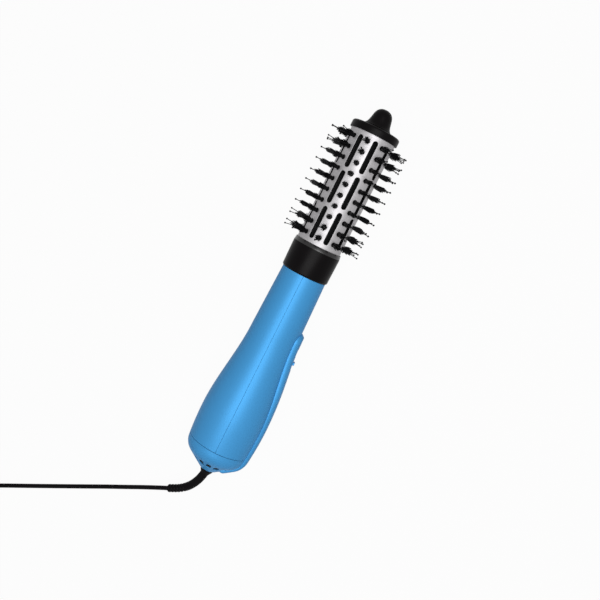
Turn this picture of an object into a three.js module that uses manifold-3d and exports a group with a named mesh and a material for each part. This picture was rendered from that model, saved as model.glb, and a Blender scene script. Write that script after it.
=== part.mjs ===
// Hot air brush: a pear-shaped handle with a motor and fan, a heater in the neck, and a perforated
// barrel with nine rows of bristle tufts. It lies on a surface on its lowest tufts and its grip.
// Millimetres. The brush is built along local X, from its base (x = 0) to its cool tip; the group
// that holds it is then tilted about Y until tufts and grip touch the floor z = 0. World X runs
// towards the tip, Z is up, and the origin is at the bottom centre of the brush without its cord.

import * as THREE from "three";
import { mergeVertices, mergeGeometries } from "three/addons/utils/BufferGeometryUtils.js";
import Module from "manifold-3d";

const wasm = await Module();
wasm.setup();

// ---------------------------------------------------------------- driving sizes

const clearance = 0.3; // between any two neighbours
const weld = 0.3; // how far solids that are joined run into each other

// Handle: outer line, from the base to the neck
const wall = 2.2;
const capSeam = 23.3; // where the end cap meets the shells
const capRound = 13; // radius of the rounded base edge
const capRoundStart = 20.3;
const undersideDeg = 52; // slope of the vented underside against the axis
const gripRadius = 27.95;
const gripWidest = 49; // from the base
const gripBow = 0.0016; // how fast the grip narrows towards the base
const taperEnd = 129;
const neckRadius = 18.95;
const neckFlare = 0.03;
const neckEnd = 183;
const spigotRadius = 17.6;
const spigotLength = 14;
const handleTurnDeg = 7.7; // the shells' seam against the front row of tufts

// End cap
const lipLength = 5;
const lipWall = 1.6;
const ventCount = 16;
const ventLength = 6.6;
const ventWidth = 3.7;
const ventRadius = 17.4; // from the axis to a vent's middle
const screwStep = 6; // a screw stands at this vent place, counted from the seam, on either side
const capScrewRadius = 17; // from the axis
const screwShank = 1.2;
const screwHead = 2.6;
const screwHeadHeight = 1.8;
const screwSlotWidth = 0.8;
const screwSlotDepth = 1.1;
const capScrewLength = 22.6;
const screwBossRadius = 4.2;
const shellPostRadius = 3.2;
const webThickness = 3; // of the web that carries a shell's post
const screwSeat = 11.9; // from the base to the seat of a screw's head
const shellBossLength = 13;
const screenThickness = 0.8;
const screenPlace = 15.4;

// Cord swivel
const reliefRadius = 5.75;
const flangeRadius = 7.4;
const flangeThickness = 2;
const reliefCoreRadius = 5;
const reliefCoreEnd = 13;
const slipRingWall = 0.8;
const slipRingStart = 7.5;
const slipRingLength = 3;
const housingWall = 1.5;
const housingEnd = 16.5;
const housingRingWall = 1.4;
const housingRingEnd = 9;
const springWidth = 2;
const springThickness = 0.8;
const springEnd = 20;

// Switch panel and switch, on the side that the handle group calls -Y
const panelWidth = 20.6;
const panelTop = 138.3;
const panelBottom = 3;
const panelCorner = 8; // radius of its corners towards the head
const panelProudTop = 3.5;
const panelProudGrip = 2.2;
const panelProudEnd = 3; // at the panel's end towards the head
const panelProudBase = 1.8;
const panelRiseEnd = 96; // from the base; the panel stands at its full height there
const sliderPlace = 112.8;
const sliderLength = 12;
const sliderWidth = 7.4;
const sliderThickness = 0.8;
const sliderTravel = 6; // off, low and high, 3 mm apart
const nubLength = 2.4;
const nubWidth = 6.4;
const nubHeight = 1.1;
const pocketFloor = 0.65; // material left under the slider
const stemLength = 2.6;
const stemWidth = 2.6;
const switchDepth = 16.7; // from the axis to the switch's outer face
const switchLength = 22;
const switchHeight = 7.7;
const switchWidth = 10;
const earLength = 4.2;
const earThickness = 1.5;
const recessDepth = 3.7;
const switchBossRadius = 2.2;
const switchScrewHead = 1.6;
const switchScrewHeadHeight = 1.1;
const switchScrewShank = 0.8;
const switchScrewLength = 3.4;

// Fan and motor
const ductStart = 52;
const ductEnd = 96;
const ductRadius = 18.4;
const ductWall = 1.5;
const flangeStart = 92;
const flangeLength = 3;
const leadNotch = 4;
const leadNotchDeg = [70, 290];
const fanStart = 54;
const fanLength = 10;
const fanHubRadius = 5;
const fanGap = 0.8;
const fanBlades = 7;
const bladeThickness = 1.2;
const bladeDeg = 35;
const bladeRoot = 0.8; // how deep a blade stands in the hub
const statorStart = 66.4;
const statorEnd = 93;
const statorWall = 1.3;
const statorVanes = 5;
const vaneThickness = 1.4;
const vaneMargin = 4; // from either end of the motor's sleeve
const motorRadius = 12;
const motorLength = 29;
const motorBossRadius = 3.6;
const motorBossLength = 1.6;
const shaftRadius = 1.15;
const shaftInMotor = 16;
const boardRadius = 11.5;
const boardThickness = 1.6;
const capacitorRadius = 2.2;
const capacitorHeight = 2.4;
const capacitorPlace = 6;

// Heater, in the neck
const sleeveStart = 133;
const sleeveWall = 0.5;
const boardStart = 137;
const heaterBoardLength = 58;
const micaThickness = 0.8;
const windingWall = 0.8;
const windingStart = 143;
const windingLength = 46;
const cutoutPlace = 6; // from the winding's start
const cutoutAside = 1;
const cutoutSize = [9, 5, 3];
const fusePlace = 22; // from the winding's start
const fuseAside = 2;
const fuseRadius = 1.2;
const fuseLength = 9;

// Leads inside the handle
const leadRadius = 0.9;
const leadLane = 19.9; // from the axis, along the outside of the fan duct
const leadStraight = 1;

// Neck collar
const collarProud = 1; // past the neck and the barrel, at the collar's foot
const collarTopWall = 1.1; // round the barrel, under the bevel
const collarRimWall = 0.4; // round the barrel, at the collar's top
const collarTop = 209.5;
const collarBevel = 3.6;
const collarChamfer = 0.8;
const collarFlange = 2;
const airPassage = 15.6;

// Barrel, bristle carriers and tip
const barrelRadius = 19.05;
const barrelWall = 0.6;
const barrelShown = 96.5;
const barrelInCap = 3.9;
const rows = 9;
const tuftsInRow = 10;
const tuftPitch = 9.3;
const tuftHole = 4.2;
const slotsInRow = 3;
const slotLength = 27.8;
const slotWidth = 4.4;
const slotGap = 3.1;
const carrierWall = 1.6;
const carrierCount = 3;
const carrierEndRing = 5;
const tuftTipRadius = 34.1; // from the axis to the pins' ends
const fanTipRadius = 28.6; // from the axis to the ends of the fanned bristles
const fanBristles = 3;
const fanDeg = 13;
const fanOffset = 0.85;
const bristleRoot = 0.55;
const pinTip = 0.45;
const spiderThickness = 2.2;
const spiderHub = 5;
const spiderArms = 3;
const spiderArmWidth = 4;
const guideRadius = 11;
const guideWall = 1.2;
const rodRadius = 2;
const rodHeadRadius = 3.6;
const rodHeadHeight = 2.3;
const capRingWall = 1.15; // round the barrel
const capRingLength = 6.6;
const capShoulder = 1.4;
const capDisc = 2.6;
const capCrown = 0.9;
const knobBase = 11.3;
const knobTop = 7.6; // radius where the knob's flank meets its round end
const knobRound = 5.4; // length of the round end
const knobDraft = 0.254; // how fast the flank widens towards the base
const knobFillet = 2.2;
const knobLength = 15.2;
const knobWall = 2.4;
const knobBore = 5.8;
const knobBoreChamfer = 1.5;
const rodNutRadius = 3.4;
const rodNutHeight = 3;
const rodPastNut = 1.2;

// Cord
const cordRadius = 1.9;
const cordHeight = 2.2; // of the cord's centre, where it lies on the floor
const reliefLength = 46;
const reliefBody = 3.6; // radius past the flare
const reliefEndRadius = 3.3;
const reliefFlare = 9; // length of the flare at the root
const reliefRibs = 6;
const reliefRibPitch = 3;
const reliefRibDepth = 0.35;
const coilLoops = 12;
const coilLayers = 4;
const coilStep = 4.35; // from turn to turn and from layer to layer
const coilMiddle = 22.8; // mean radius of the turns
const coilSteps = 16;
const coilSides = 6;
const coilStraight = 3.8;
const coilClimb = 0.5; // turns over which the cord climbs to the next layer
const coilRise = 0.85; // share of the last climb that is done three straights before the coil
const tieThickness = 1;
const tieWidth = 6;
const tieFloor = 0.2;
const tieGap = 0.8;
const plugLength = 36;
const plugWidth = 24;
const plugDepth = 13.6;
const plugNeck = 3.9; // radius of the sleeve where the cord enters
const plugSquareness = 0.6;
const bladeLength = 17;
const bladeWidth = 6.35;
const bladeHeight = 1.5;
const bladeSpacing = 12.7;
const bladePocket = 4;

// The cord's route from the exit: how far back, how far to the side, and what share of the way
// down from the exit's height to the floor it has come.
const leadRoute = [
  [0, 0, 0],
  [6, 0.6, 0.01],
  [14, 2.8, 0.05],
  [22.2, 7.2, 0.13],
  [28.8, 13.4, 0.22],
  [34.4, 21.4, 0.33],
  [39.7, 29.8, 0.46],
  [45.2, 38.3, 0.6],
  [50.7, 46.8, 0.73],
  [56.1, 55.3, 0.835],
  [61.6, 64.3, 0.915],
  [68.2, 75.7, 0.975],
  [75.6, 88.8, 1],
  [88.6, 112.4, 1],
  [102.2, 137.2, 1],
  [115.8, 162.1, 1],
];
const coilEntry = [134.6, 196.9];

// The tail's route from the coil's middle: along the way the cord arrives, across it towards the
// coil, and up from the plug's axis as a share of the drop from the coil's top turn.
const tailRoute = [
  [12, -29.2, 0.97],
  [22, -27.4, 0.74],
  [31, -22.6, 0.4],
  [37.6, -15, 0.12],
  [41, -6.4, 0.01],
  [42, 1, 0],
];

const round = 24; // sides of the turned pieces that show
const roundInner = 16;
const roundPin = 12;
const roundSmall = 10;
const roundCord = 8;

// ---------------------------------------------------------------- finishes

const finish = (color, roughness, metalness = 0) =>
  new THREE.MeshStandardMaterial({ color, roughness, metalness, flatShading: true });

const blueLacquer = finish(0x4c9adb, 0.32, 0.25);
const blackPlastic = finish(0x151517, 0.35);
const brushedMetal = finish(0xb9b7bb, 0.3, 0.9);
const nylon = finish(0x18181b, 0.55);
const cordVinyl = finish(0x121214, 0.6);
const steel = finish(0x9a9a9e, 0.35, 1);
const brass = finish(0xb8923f, 0.35, 1);
const mica = finish(0xb59f74, 0.7);
const motorSteel = finish(0x8c8f94, 0.4, 0.9);
const board = finish(0x3f6b3a, 0.6);
const greyPlastic = finish(0x55585c, 0.6);
const nichrome = finish(0x8a7f78, 0.5, 0.8);

// ---------------------------------------------------------------- solids

const rad = THREE.MathUtils.degToRad;

function solid(geometry) {
  const bare = geometry.clone();
  bare.deleteAttribute("normal");
  bare.deleteAttribute("uv");
  const merged = mergeVertices(bare, 1e-4);
  return new wasm.Manifold(
    new wasm.Mesh({
      numProp: 3,
      vertProperties: merged.attributes.position.array,
      triVerts: new Uint32Array(merged.index.array),
    }),
  );
}

const join = (...solids) => solids.reduce((all, next) => all.add(next));

// A solid of revolution about X, from [x, r] points.
function turnedGeometry(points, sides = round) {
  const outline = points.map(([x, r]) => new THREE.Vector2(r, x));
  if (THREE.ShapeUtils.area(outline) < 0) outline.reverse();
  if (outline[0].x > 0) outline.push(outline[0].clone());
  return new THREE.LatheGeometry(outline, sides).rotateZ(-Math.PI / 2);
}

const turned = (points, sides) => solid(turnedGeometry(points, sides));

// A tube or disc about X.
const ringLine = (x0, x1, inner, outer) => [[x0, inner], [x0, outer], [x1, outer], [x1, inner]];
const ring = (x0, x1, inner, outer, sides) => turned(ringLine(x0, x1, inner, outer), sides);

// A box between three pairs of sides, then turned about X by an angle.
function block(x0, x1, y0, y1, z0, z1, deg = 0) {
  const box = new THREE.BoxGeometry(x1 - x0, y1 - y0, z1 - z0);
  box.translate((x0 + x1) / 2, (y0 + y1) / 2, (z0 + z1) / 2);
  return solid(box.rotateX(rad(deg)));
}

// A round bar between two points.
function rodGeometry(from, to, radius, sides = roundSmall) {
  const along = new THREE.Vector3().subVectors(to, from);
  const turn = new THREE.Quaternion().setFromUnitVectors(
    new THREE.Vector3(0, 1, 0),
    along.clone().normalize(),
  );
  const bar = new THREE.CylinderGeometry(radius, radius, along.length(), sides);
  return bar.applyQuaternion(turn).translate(...from.clone().lerp(to, 0.5).toArray());
}

const rod = (from, to, radius, sides) => solid(rodGeometry(from, to, radius, sides));

// A round bar parallel to X.
const pin = (x0, x1, y, z, radius, sides) =>
  rod(new THREE.Vector3(x0, y, z), new THREE.Vector3(x1, y, z), radius, sides);

// The point at distance r from the axis; 0 degrees is up and 90 degrees is -Y.
const around = (x, r, deg) =>
  new THREE.Vector3(x, -r * Math.sin(rad(deg)), r * Math.cos(rad(deg)));

// A closed tube of changing radius through points that never run straight up.
function tubeGeometry(points, radii, sides) {
  const position = [];
  const index = [];
  const up = new THREE.Vector3(0, 0, 1);
  const last = points.length - 1;
  points.forEach((point, i) => {
    const ahead = points[Math.min(i + 1, last)].clone().sub(points[Math.max(i - 1, 0)]).normalize();
    const side = new THREE.Vector3().crossVectors(up, ahead).normalize();
    const over = new THREE.Vector3().crossVectors(ahead, side);
    for (let k = 0; k < sides; k++) {
      const turn = (2 * Math.PI * k) / sides;
      const corner = point
        .clone()
        .addScaledVector(side, radii[i] * Math.cos(turn))
        .addScaledVector(over, radii[i] * Math.sin(turn));
      position.push(...corner.toArray());
    }
  });
  for (let i = 0; i < last; i++) {
    for (let k = 0; k < sides; k++) {
      const a = i * sides + k;
      const b = i * sides + ((k + 1) % sides);
      index.push(a, b, a + sides, b, b + sides, a + sides);
    }
  }
  for (let k = 1; k < sides - 1; k++) {
    index.push(0, k + 1, k);
    index.push(last * sides, last * sides + k, last * sides + k + 1);
  }
  const geometry = new THREE.BufferGeometry();
  geometry.setAttribute("position", new THREE.Float32BufferAttribute(position, 3));
  return geometry.setIndex(index);
}

function piece(parent, name, body, material) {
  const { vertProperties, triVerts } = body.getMesh();
  const geometry = new THREE.BufferGeometry();
  geometry.setAttribute("position", new THREE.BufferAttribute(vertProperties, 3));
  geometry.setIndex(new THREE.BufferAttribute(triVerts, 1));
  geometry.computeVertexNormals();
  const mesh = new THREE.Mesh(geometry, material);
  mesh.name = name;
  parent.add(mesh);
  return mesh;
}

// ---------------------------------------------------------------- outer line of the handle

function gripLine(x) {
  const neck = neckRadius + neckFlare * (neckEnd - Math.max(x, taperEnd));
  const share = THREE.MathUtils.smoothstep(x, gripWidest, taperEnd);
  const belly = gripRadius - gripBow * Math.max(gripWidest - x, 0) ** 2;
  return THREE.MathUtils.lerp(belly, neck, share);
}

// [x, r] points from the base face to the seam.
function capLine() {
  const startSlope = Math.atan(2 * gripBow * (gripWidest - capRoundStart));
  const startRadius = gripLine(capRoundStart);
  const arc = [];
  const steps = 4;
  for (let i = steps; i >= 0; i--) {
    const angle = THREE.MathUtils.lerp(startSlope, rad(undersideDeg), i / steps);
    arc.push([
      capRoundStart - capRound * (Math.sin(angle) - Math.sin(startSlope)),
      startRadius - capRound * (Math.cos(startSlope) - Math.cos(angle)),
    ]);
  }
  const [x, r] = arc[0];
  return [[0, r - x * Math.tan(rad(undersideDeg))], ...arc, [capSeam, gripLine(capSeam)]];
}

// The same line moved out by a distance that may change along it.
function offsetLine(line, distance) {
  return line.map(([x, r], i) => {
    const [x0, r0] = line[Math.max(i - 1, 0)];
    const [x1, r1] = line[Math.min(i + 1, line.length - 1)];
    const length = Math.hypot(x1 - x0, r1 - r0);
    const out = distance(x);
    return [x - (out * (r1 - r0)) / length, r + (out * (x1 - x0)) / length];
  });
}

function radiusOn(line, x) {
  const i = line.findIndex(([at], k) => k > 0 && at >= x);
  const [x0, r0] = line[i - 1];
  const [x1, r1] = line[i];
  return r0 + ((r1 - r0) * (x - x0)) / (x1 - x0);
}

const shellStations = 10;
const shellLine = Array.from({ length: shellStations + 1 }, (_, i) => {
  const x = capSeam + ((neckEnd - capSeam) * i) / shellStations;
  return [x, gripLine(x)];
});
const baseLine = capLine();
const capInside = offsetLine(baseLine, () => -wall);
const flangeSeat = flangeRadius + clearance; // the hollow is this wide where the relief's flange turns
const capHollow = [
  [wall, Math.max(radiusOn(capInside, wall), flangeSeat)],
  ...capInside.filter(([x]) => x > wall && x < capRoundStart),
];
const shellInside = (x) => gripLine(x) - wall;
const spigotInside = spigotRadius - wall;
const baseFaceRadius = baseLine[0][1];
const lipRadius = shellInside(capSeam) - clearance;
const lipInside = lipRadius - lipWall;
const ventSlope = rad(undersideDeg);
const ventPlace = (ventRadius - baseFaceRadius) / Math.tan(ventSlope);
const screwDeg = [screwStep, ventCount - screwStep].map((step) => (360 * step) / ventCount);
const bossEnd = capSeam - clearance;
const housingRadius = flangeSeat + housingWall;

// ---------------------------------------------------------------- handle pieces

function halfShell(sign) {
  const seamGap = clearance / 2;
  const start = capSeam + clearance;
  const line = shellLine.slice(1);
  const end = neckEnd + spigotLength;
  const outer = [[start, gripLine(start)], ...line, [neckEnd, spigotRadius], [end, spigotRadius]];
  const inner = [[end, spigotInside], [neckEnd, spigotInside]];
  const inside = line.slice(0, -1).reverse().map(([x]) => [x, shellInside(x)]);
  const whole = turned([...outer, ...inner, ...inside, [start, shellInside(start)]]);
  const reach = 2 * gripRadius;
  const half = block(0, end + 1, ...[sign * seamGap, sign * reach].sort((a, b) => a - b), -reach, reach);
  const deg = screwDeg.find((angle) => Math.sign(around(0, 1, angle).y) === sign);
  return join(whole.intersect(half), shellBoss(deg, half)).subtract(screwHole(deg));
}

// The post in a shell that takes the end cap's screw, with the web that carries it.
function shellBoss(deg, side) {
  const start = capSeam + clearance;
  const end = start + shellBossLength;
  const webStart = capSeam + lipLength + clearance;
  const { y, z } = around(0, capScrewRadius, deg);
  const post = pin(start, end, y, z, shellPostRadius, roundPin);
  const half = webThickness / 2;
  const web = block(webStart, end, -half, half, capScrewRadius, shellInside(capSeam) + wall / 2, deg);
  return join(post, web).intersect(side);
}

function screwHole(deg) {
  const { y, z } = around(0, capScrewRadius, deg);
  const end = screwSeat + capScrewLength + clearance;
  return join(
    pin(0, screwSeat, y, z, screwHead + clearance, roundPin),
    pin(screwSeat - weld, end, y, z, screwShank + clearance, roundSmall),
  );
}

function capScrew(deg) {
  const { y, z } = around(0, capScrewRadius, deg);
  const seat = screwSeat - clearance;
  const end = screwSeat + capScrewLength;
  const top = seat - screwHeadHeight;
  const half = screwSlotWidth / 2;
  const slot = block(0, top + screwSlotDepth, y - half, y + half, z - screwHead, z + screwHead);
  return join(
    pin(top, seat, y, z, screwHead, roundPin),
    pin(seat - weld, end, y, z, screwShank, roundSmall),
  ).subtract(slot);
}

function leftShell() {
  return halfShell(1);
}

function rightShell() {
  const post = (x) =>
    rod(
      new THREE.Vector3(x, -switchDepth - clearance, 0),
      new THREE.Vector3(x, -shellInside(x) - wall / 2, 0),
      switchBossRadius,
      roundPin,
    );
  const hole = (x) =>
    rod(
      new THREE.Vector3(x, -switchDepth, 0),
      new THREE.Vector3(x, -switchDepth - switchScrewLength, 0),
      switchScrewShank + clearance,
      roundSmall,
    );
  return earPlaces()
    .reduce((shell, x) => shell.add(post(x)).subtract(hole(x)), halfShell(-1))
    .subtract(stemSlot(0, 2 * gripRadius));
}

function endCap() {
  const outer = baseLine;
  const bore = reliefRadius + clearance;
  const shell = turned([
    [0, bore],
    ...outer,
    [capSeam, lipRadius],
    [capSeam + lipLength, lipRadius],
    [capSeam + lipLength, lipInside],
    [capRoundStart, lipInside],
    ...capHollow.toReversed(),
    [wall, bore],
  ]);
  const collar = ring(
    wall + 1,
    housingRingEnd,
    housingRadius + clearance,
    housingRadius + clearance + housingRingWall,
    roundInner,
  );
  const bosses = screwDeg.map((deg) => {
    const { y, z } = around(0, capScrewRadius, deg);
    const outside = turned([[0, 0], ...outer, [capSeam, 0]]);
    return pin(wall, bossEnd, y, z, screwBossRadius, roundPin).intersect(outside);
  });
  const cuts = [...ventCutters(), ...screwDeg.map(screwHole)];
  return cuts.reduce((cap, cut) => cap.subtract(cut), join(shell, collar, ...bosses));
}

// Long vents stand round the sloping underside, except where a screw is.
function ventCutters() {
  const cutters = [];
  for (let i = 0; i < ventCount; i++) {
    const deg = (360 * i) / ventCount;
    if (screwDeg.includes(deg)) continue;
    const cutter = new THREE.BoxGeometry(ventLength, ventWidth, 3 * wall).rotateY(-ventSlope);
    cutters.push(solid(cutter.translate(ventPlace, 0, ventRadius).rotateX(rad(deg))));
  }
  return cutters;
}

function intakeScreen() {
  const end = screenPlace + screenThickness;
  const inner = housingRadius + clearance + housingRingWall + clearance;
  const disc = ring(screenPlace, end, inner, radiusOn(capInside, screenPlace) - clearance);
  return screwDeg.reduce((screen, deg) => {
    const { y, z } = around(0, capScrewRadius, deg);
    return screen.subtract(pin(screenPlace - 1, end + 1, y, z, screwBossRadius + clearance, roundPin));
  }, disc);
}

// ---------------------------------------------------------------- switch panel, slider and switch

function panelProud(x) {
  const top = THREE.MathUtils.smoothstep(x, gripWidest, panelRiseEnd);
  const base = 1 - THREE.MathUtils.smoothstep(x, capRoundStart / 2, gripWidest);
  const end = THREE.MathUtils.smoothstep(x, panelRiseEnd, panelTop);
  const rising = THREE.MathUtils.lerp(panelProudGrip, panelProudTop, top);
  const falling = THREE.MathUtils.lerp(rising, panelProudEnd, end);
  return THREE.MathUtils.lerp(falling, panelProudBase, base);
}

const panelLine = [...baseLine, ...shellLine.slice(1)];
const panelOutside = offsetLine(panelLine, panelProud);
const panelInside = offsetLine(panelLine, () => clearance);
const pocketStart = sliderPlace - sliderLength / 2 - clearance;
const pocketEnd = sliderPlace + sliderLength / 2 + sliderTravel + clearance;
const pocketDepth = radiusOn(panelInside, pocketStart) + pocketFloor;

// The opening that the slider's stem runs in, between two distances from the axis.
function stemSlot(near, far) {
  const half = stemWidth / 2 + clearance;
  const start = sliderPlace - stemLength / 2 - clearance;
  const end = sliderPlace + stemLength / 2 + sliderTravel + clearance;
  return block(start, end, -far, -near, -half, half);
}

function switchPanel() {
  const half = panelWidth / 2;
  const outline = new THREE.Shape();
  outline.moveTo(panelBottom, -half);
  const corner = Math.min(panelCorner, half);
  const cornerX = panelTop - corner;
  outline.absarc(cornerX, corner - half, corner, -Math.PI / 2, 0, false);
  outline.absarc(cornerX, half - corner, corner, 0, Math.PI / 2, false);
  outline.lineTo(panelBottom, half);
  const depth = 2 * gripRadius;
  const options = { depth, bevelEnabled: false, steps: 1, curveSegments: 4 };
  const strip = new THREE.ExtrudeGeometry(outline, options).rotateX(Math.PI / 2);
  const band = turned([[panelOutside[0][0], 0], ...panelOutside, [neckEnd, 0]]);
  const under = turned([[panelInside[0][0], 0], ...panelInside, [neckEnd, 0]]);
  const hollow = join(under, block(-1, panelTop, -baseFaceRadius, baseFaceRadius, -half, half));
  const width = sliderWidth / 2 + clearance;
  const pocket = block(pocketStart, pocketEnd, -depth, -pocketDepth, -width, width);
  return band.intersect(solid(strip)).subtract(hollow).subtract(pocket).subtract(stemSlot(0, depth));
}

function switchSlider() {
  const half = sliderWidth / 2;
  const under = pocketDepth + clearance;
  const nubTop = radiusOn(panelOutside, sliderPlace) + nubHeight;
  const x = sliderPlace;
  const stemTip = switchDepth - recessDepth + clearance;
  return join(
    block(x - sliderLength / 2, x + sliderLength / 2, -under - sliderThickness, -under, -half, half),
    block(x - nubLength / 2, x + nubLength / 2, -nubTop, -under - weld, -nubWidth / 2, nubWidth / 2),
    block(x - stemLength / 2, x + stemLength / 2, -under - weld, -stemTip, -stemWidth / 2, stemWidth / 2),
  );
}

const switchStart = sliderPlace + sliderTravel / 2 - switchLength / 2;
const switchEnd = switchStart + switchLength;
const earPlaces = () => [switchStart - earLength / 2, switchEnd + earLength / 2];

function slideSwitch() {
  const half = switchWidth / 2;
  const body = block(switchStart, switchEnd, -switchDepth, switchHeight - switchDepth, -half, half);
  const ears = block(
    switchStart - earLength,
    switchEnd + earLength,
    -switchDepth,
    earThickness - switchDepth,
    -half,
    half,
  );
  const shape = join(body, ears).subtract(stemSlot(switchDepth - recessDepth, switchDepth + 1));
  return earPlaces().reduce((all, x) => {
    const outside = new THREE.Vector3(x, -switchDepth - 1, 0);
    const inside = new THREE.Vector3(x, -switchDepth + earThickness + 1, 0);
    return all.subtract(rod(outside, inside, switchScrewShank + clearance, roundSmall));
  }, shape);
}

function switchScrew(x) {
  const seat = -switchDepth + earThickness + clearance;
  const end = -switchDepth - switchScrewLength + clearance;
  const at = (y) => new THREE.Vector3(x, y, 0);
  return join(
    rod(at(seat + switchScrewHeadHeight), at(seat), switchScrewHead, roundPin),
    rod(at(seat + weld), at(end), switchScrewShank, roundSmall),
  );
}

// ---------------------------------------------------------------- cord swivel inside the end cap

const slipRingInside = reliefCoreRadius + clearance;
const slipRingRadius = slipRingInside + slipRingWall;
const springInside = slipRingRadius + clearance;
const housingStart = wall + clearance + flangeThickness + clearance;
const springDeg = [90, 270];

function springSlot(deg) {
  const half = springWidth / 2 + clearance;
  return block(
    housingEnd - housingWall - 1,
    housingEnd + 1,
    -half,
    half,
    springInside - clearance,
    springInside + springThickness + clearance,
    deg,
  );
}

function swivelHousing() {
  const inside = housingRadius - housingWall;
  const cup = turned(
    [
      [housingStart, inside],
      [housingStart, housingRadius],
      [housingEnd, housingRadius],
      [housingEnd, 0],
      [housingEnd - housingWall, 0],
      [housingEnd - housingWall, inside],
    ],
    roundInner,
  );
  return springDeg.reduce((cup, deg) => cup.subtract(springSlot(deg)), cup);
}

function contactSpring(deg) {
  const half = springWidth / 2;
  const far = springInside + springThickness;
  return block(slipRingStart, springEnd, -half, half, springInside, far, deg);
}

function slipRing() {
  return ring(slipRingStart, slipRingStart + slipRingLength, slipRingInside, slipRingRadius, roundInner);
}

// ---------------------------------------------------------------- fan and motor

const ductInside = ductRadius - ductWall;
const fanRadius = ductInside - fanGap;
const bladeReach = Math.sqrt(fanRadius ** 2 - (fanLength / 2) ** 2 * Math.tan(rad(bladeDeg)) ** 2);
const statorRadius = motorRadius + clearance + statorWall;
const motorStart = statorStart + statorWall + clearance;
const motorEnd = motorStart + motorLength;
const boardPlace = motorEnd + clearance;
const shaftBore = shaftRadius + clearance;

function fanDuct() {
  const flangeEnd = flangeStart + flangeLength;
  const seat = shellInside(flangeEnd) - clearance;
  const tube = ring(ductStart, ductEnd, ductInside, ductRadius, roundInner);
  const flange = ring(flangeStart, flangeEnd, ductRadius - 2 * weld, seat, roundInner);
  const sleeve = turned(
    [
      [statorStart, motorBossRadius + clearance],
      [statorStart, statorRadius],
      [statorEnd, statorRadius],
      [statorEnd, motorRadius + clearance],
      [statorStart + statorWall, motorRadius + clearance],
      [statorStart + statorWall, motorBossRadius + clearance],
    ],
    roundInner,
  );
  const half = vaneThickness / 2;
  const from = statorRadius - 2 * weld;
  const to = ductInside + weld;
  const vanes = Array.from({ length: statorVanes }, (_, i) =>
    block(
      statorStart + vaneMargin,
      statorEnd - vaneMargin,
      -half,
      half,
      from,
      to,
      (360 * i) / statorVanes,
    ),
  );
  const notch = (deg) =>
    block(
      flangeStart - 1,
      flangeEnd + 1,
      -leadNotch / 2,
      leadNotch / 2,
      ductRadius + clearance,
      2 * gripRadius,
      deg,
    );
  return leadNotchDeg.reduce(
    (duct, deg) => duct.subtract(notch(deg)),
    join(tube, flange, sleeve, ...vanes),
  );
}

function fan() {
  const hub = ring(fanStart, fanStart + fanLength, shaftBore, fanHubRadius, roundSmall);
  const from = fanHubRadius - bladeRoot;
  const middle = fanStart + fanLength / 2;
  const chord = fanLength / Math.cos(rad(bladeDeg)) - bladeThickness;
  const blades = Array.from({ length: fanBlades }, (_, i) => {
    const blade = new THREE.BoxGeometry(chord, bladeThickness, bladeReach - from);
    blade.translate(0, 0, (from + bladeReach) / 2).rotateZ(rad(bladeDeg));
    return solid(blade.translate(middle, 0, 0).rotateX(rad((360 * i) / fanBlades)));
  });
  return join(hub, ...blades);
}

function motorCan() {
  const can = ring(motorStart, motorEnd, 0, motorRadius, roundInner);
  const boss = ring(motorStart - motorBossLength, motorStart + 1, 0, motorBossRadius, roundSmall);
  const bore = pin(fanStart, motorStart + shaftInMotor + clearance, 0, 0, shaftBore, roundPin);
  return join(can, boss).subtract(bore);
}

function motorShaft() {
  return pin(fanStart, motorStart + shaftInMotor, 0, 0, shaftRadius, roundPin);
}

function rectifierBoard() {
  const end = boardPlace + boardThickness;
  const disc = ring(boardPlace, end, 0, boardRadius, roundInner);
  const capacitors = [0, 180].map((deg) => {
    const { y, z } = around(0, capacitorPlace, deg);
    return pin(end - weld, end + capacitorHeight, y, z, capacitorRadius, roundSmall);
  });
  return join(disc, ...capacitors);
}

// ---------------------------------------------------------------- heater

const sleeveEnd = neckEnd + spigotLength;
const sleeveRadius = spigotInside - clearance;
const sleeveInside = sleeveRadius - sleeveWall;
const windingRadius = sleeveInside - clearance;
const boardHalf = windingRadius - windingWall - clearance;
const boardEnd = boardStart + heaterBoardLength;

// A mica board as wide as the winding lets it, with wider ends that stand in the sleeve.
function micaBoard() {
  const half = micaThickness / 2;
  const tab = sleeveInside - clearance;
  const windingEnd = windingStart + windingLength;
  return join(
    block(boardStart, boardEnd, -boardHalf, boardHalf, -half, half),
    block(boardStart, windingStart - clearance, -tab, tab, -half, half),
    block(windingEnd + clearance, boardEnd, -tab, tab, -half, half),
  );
}

// The boards cross: each has a slot over half its length for the other.
function crossSlot(from, to) {
  const half = micaThickness / 2 + clearance;
  return block(from, to, -half, half, -half, half);
}

function heaterBoardFlat() {
  const middle = (boardStart + boardEnd) / 2;
  return micaBoard().subtract(crossSlot(middle - clearance, boardEnd + 1));
}

function heaterBoardUpright() {
  const middle = (boardStart + boardEnd) / 2;
  return micaBoard().subtract(crossSlot(boardStart - 1, middle + clearance));
}

function heaterWinding() {
  const end = windingStart + windingLength;
  return ring(windingStart, end, windingRadius - windingWall, windingRadius, roundInner);
}

function micaSleeve() {
  return ring(sleeveStart, sleeveEnd, sleeveInside, sleeveRadius, roundInner);
}

function thermalCutout() {
  const [length, width, height] = cutoutSize;
  const x = windingStart + cutoutPlace;
  const y = micaThickness / 2 + clearance + cutoutAside;
  const z = micaThickness / 2 + clearance;
  return block(x, x + length, y, y + width, z, z + height);
}

function thermalFuse() {
  const x = windingStart + fusePlace;
  const beside = micaThickness / 2 + clearance + fuseRadius;
  return pin(x, x + fuseLength, fuseAside + beside, beside, fuseRadius, roundSmall);
}

// ---------------------------------------------------------------- leads inside the handle

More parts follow.
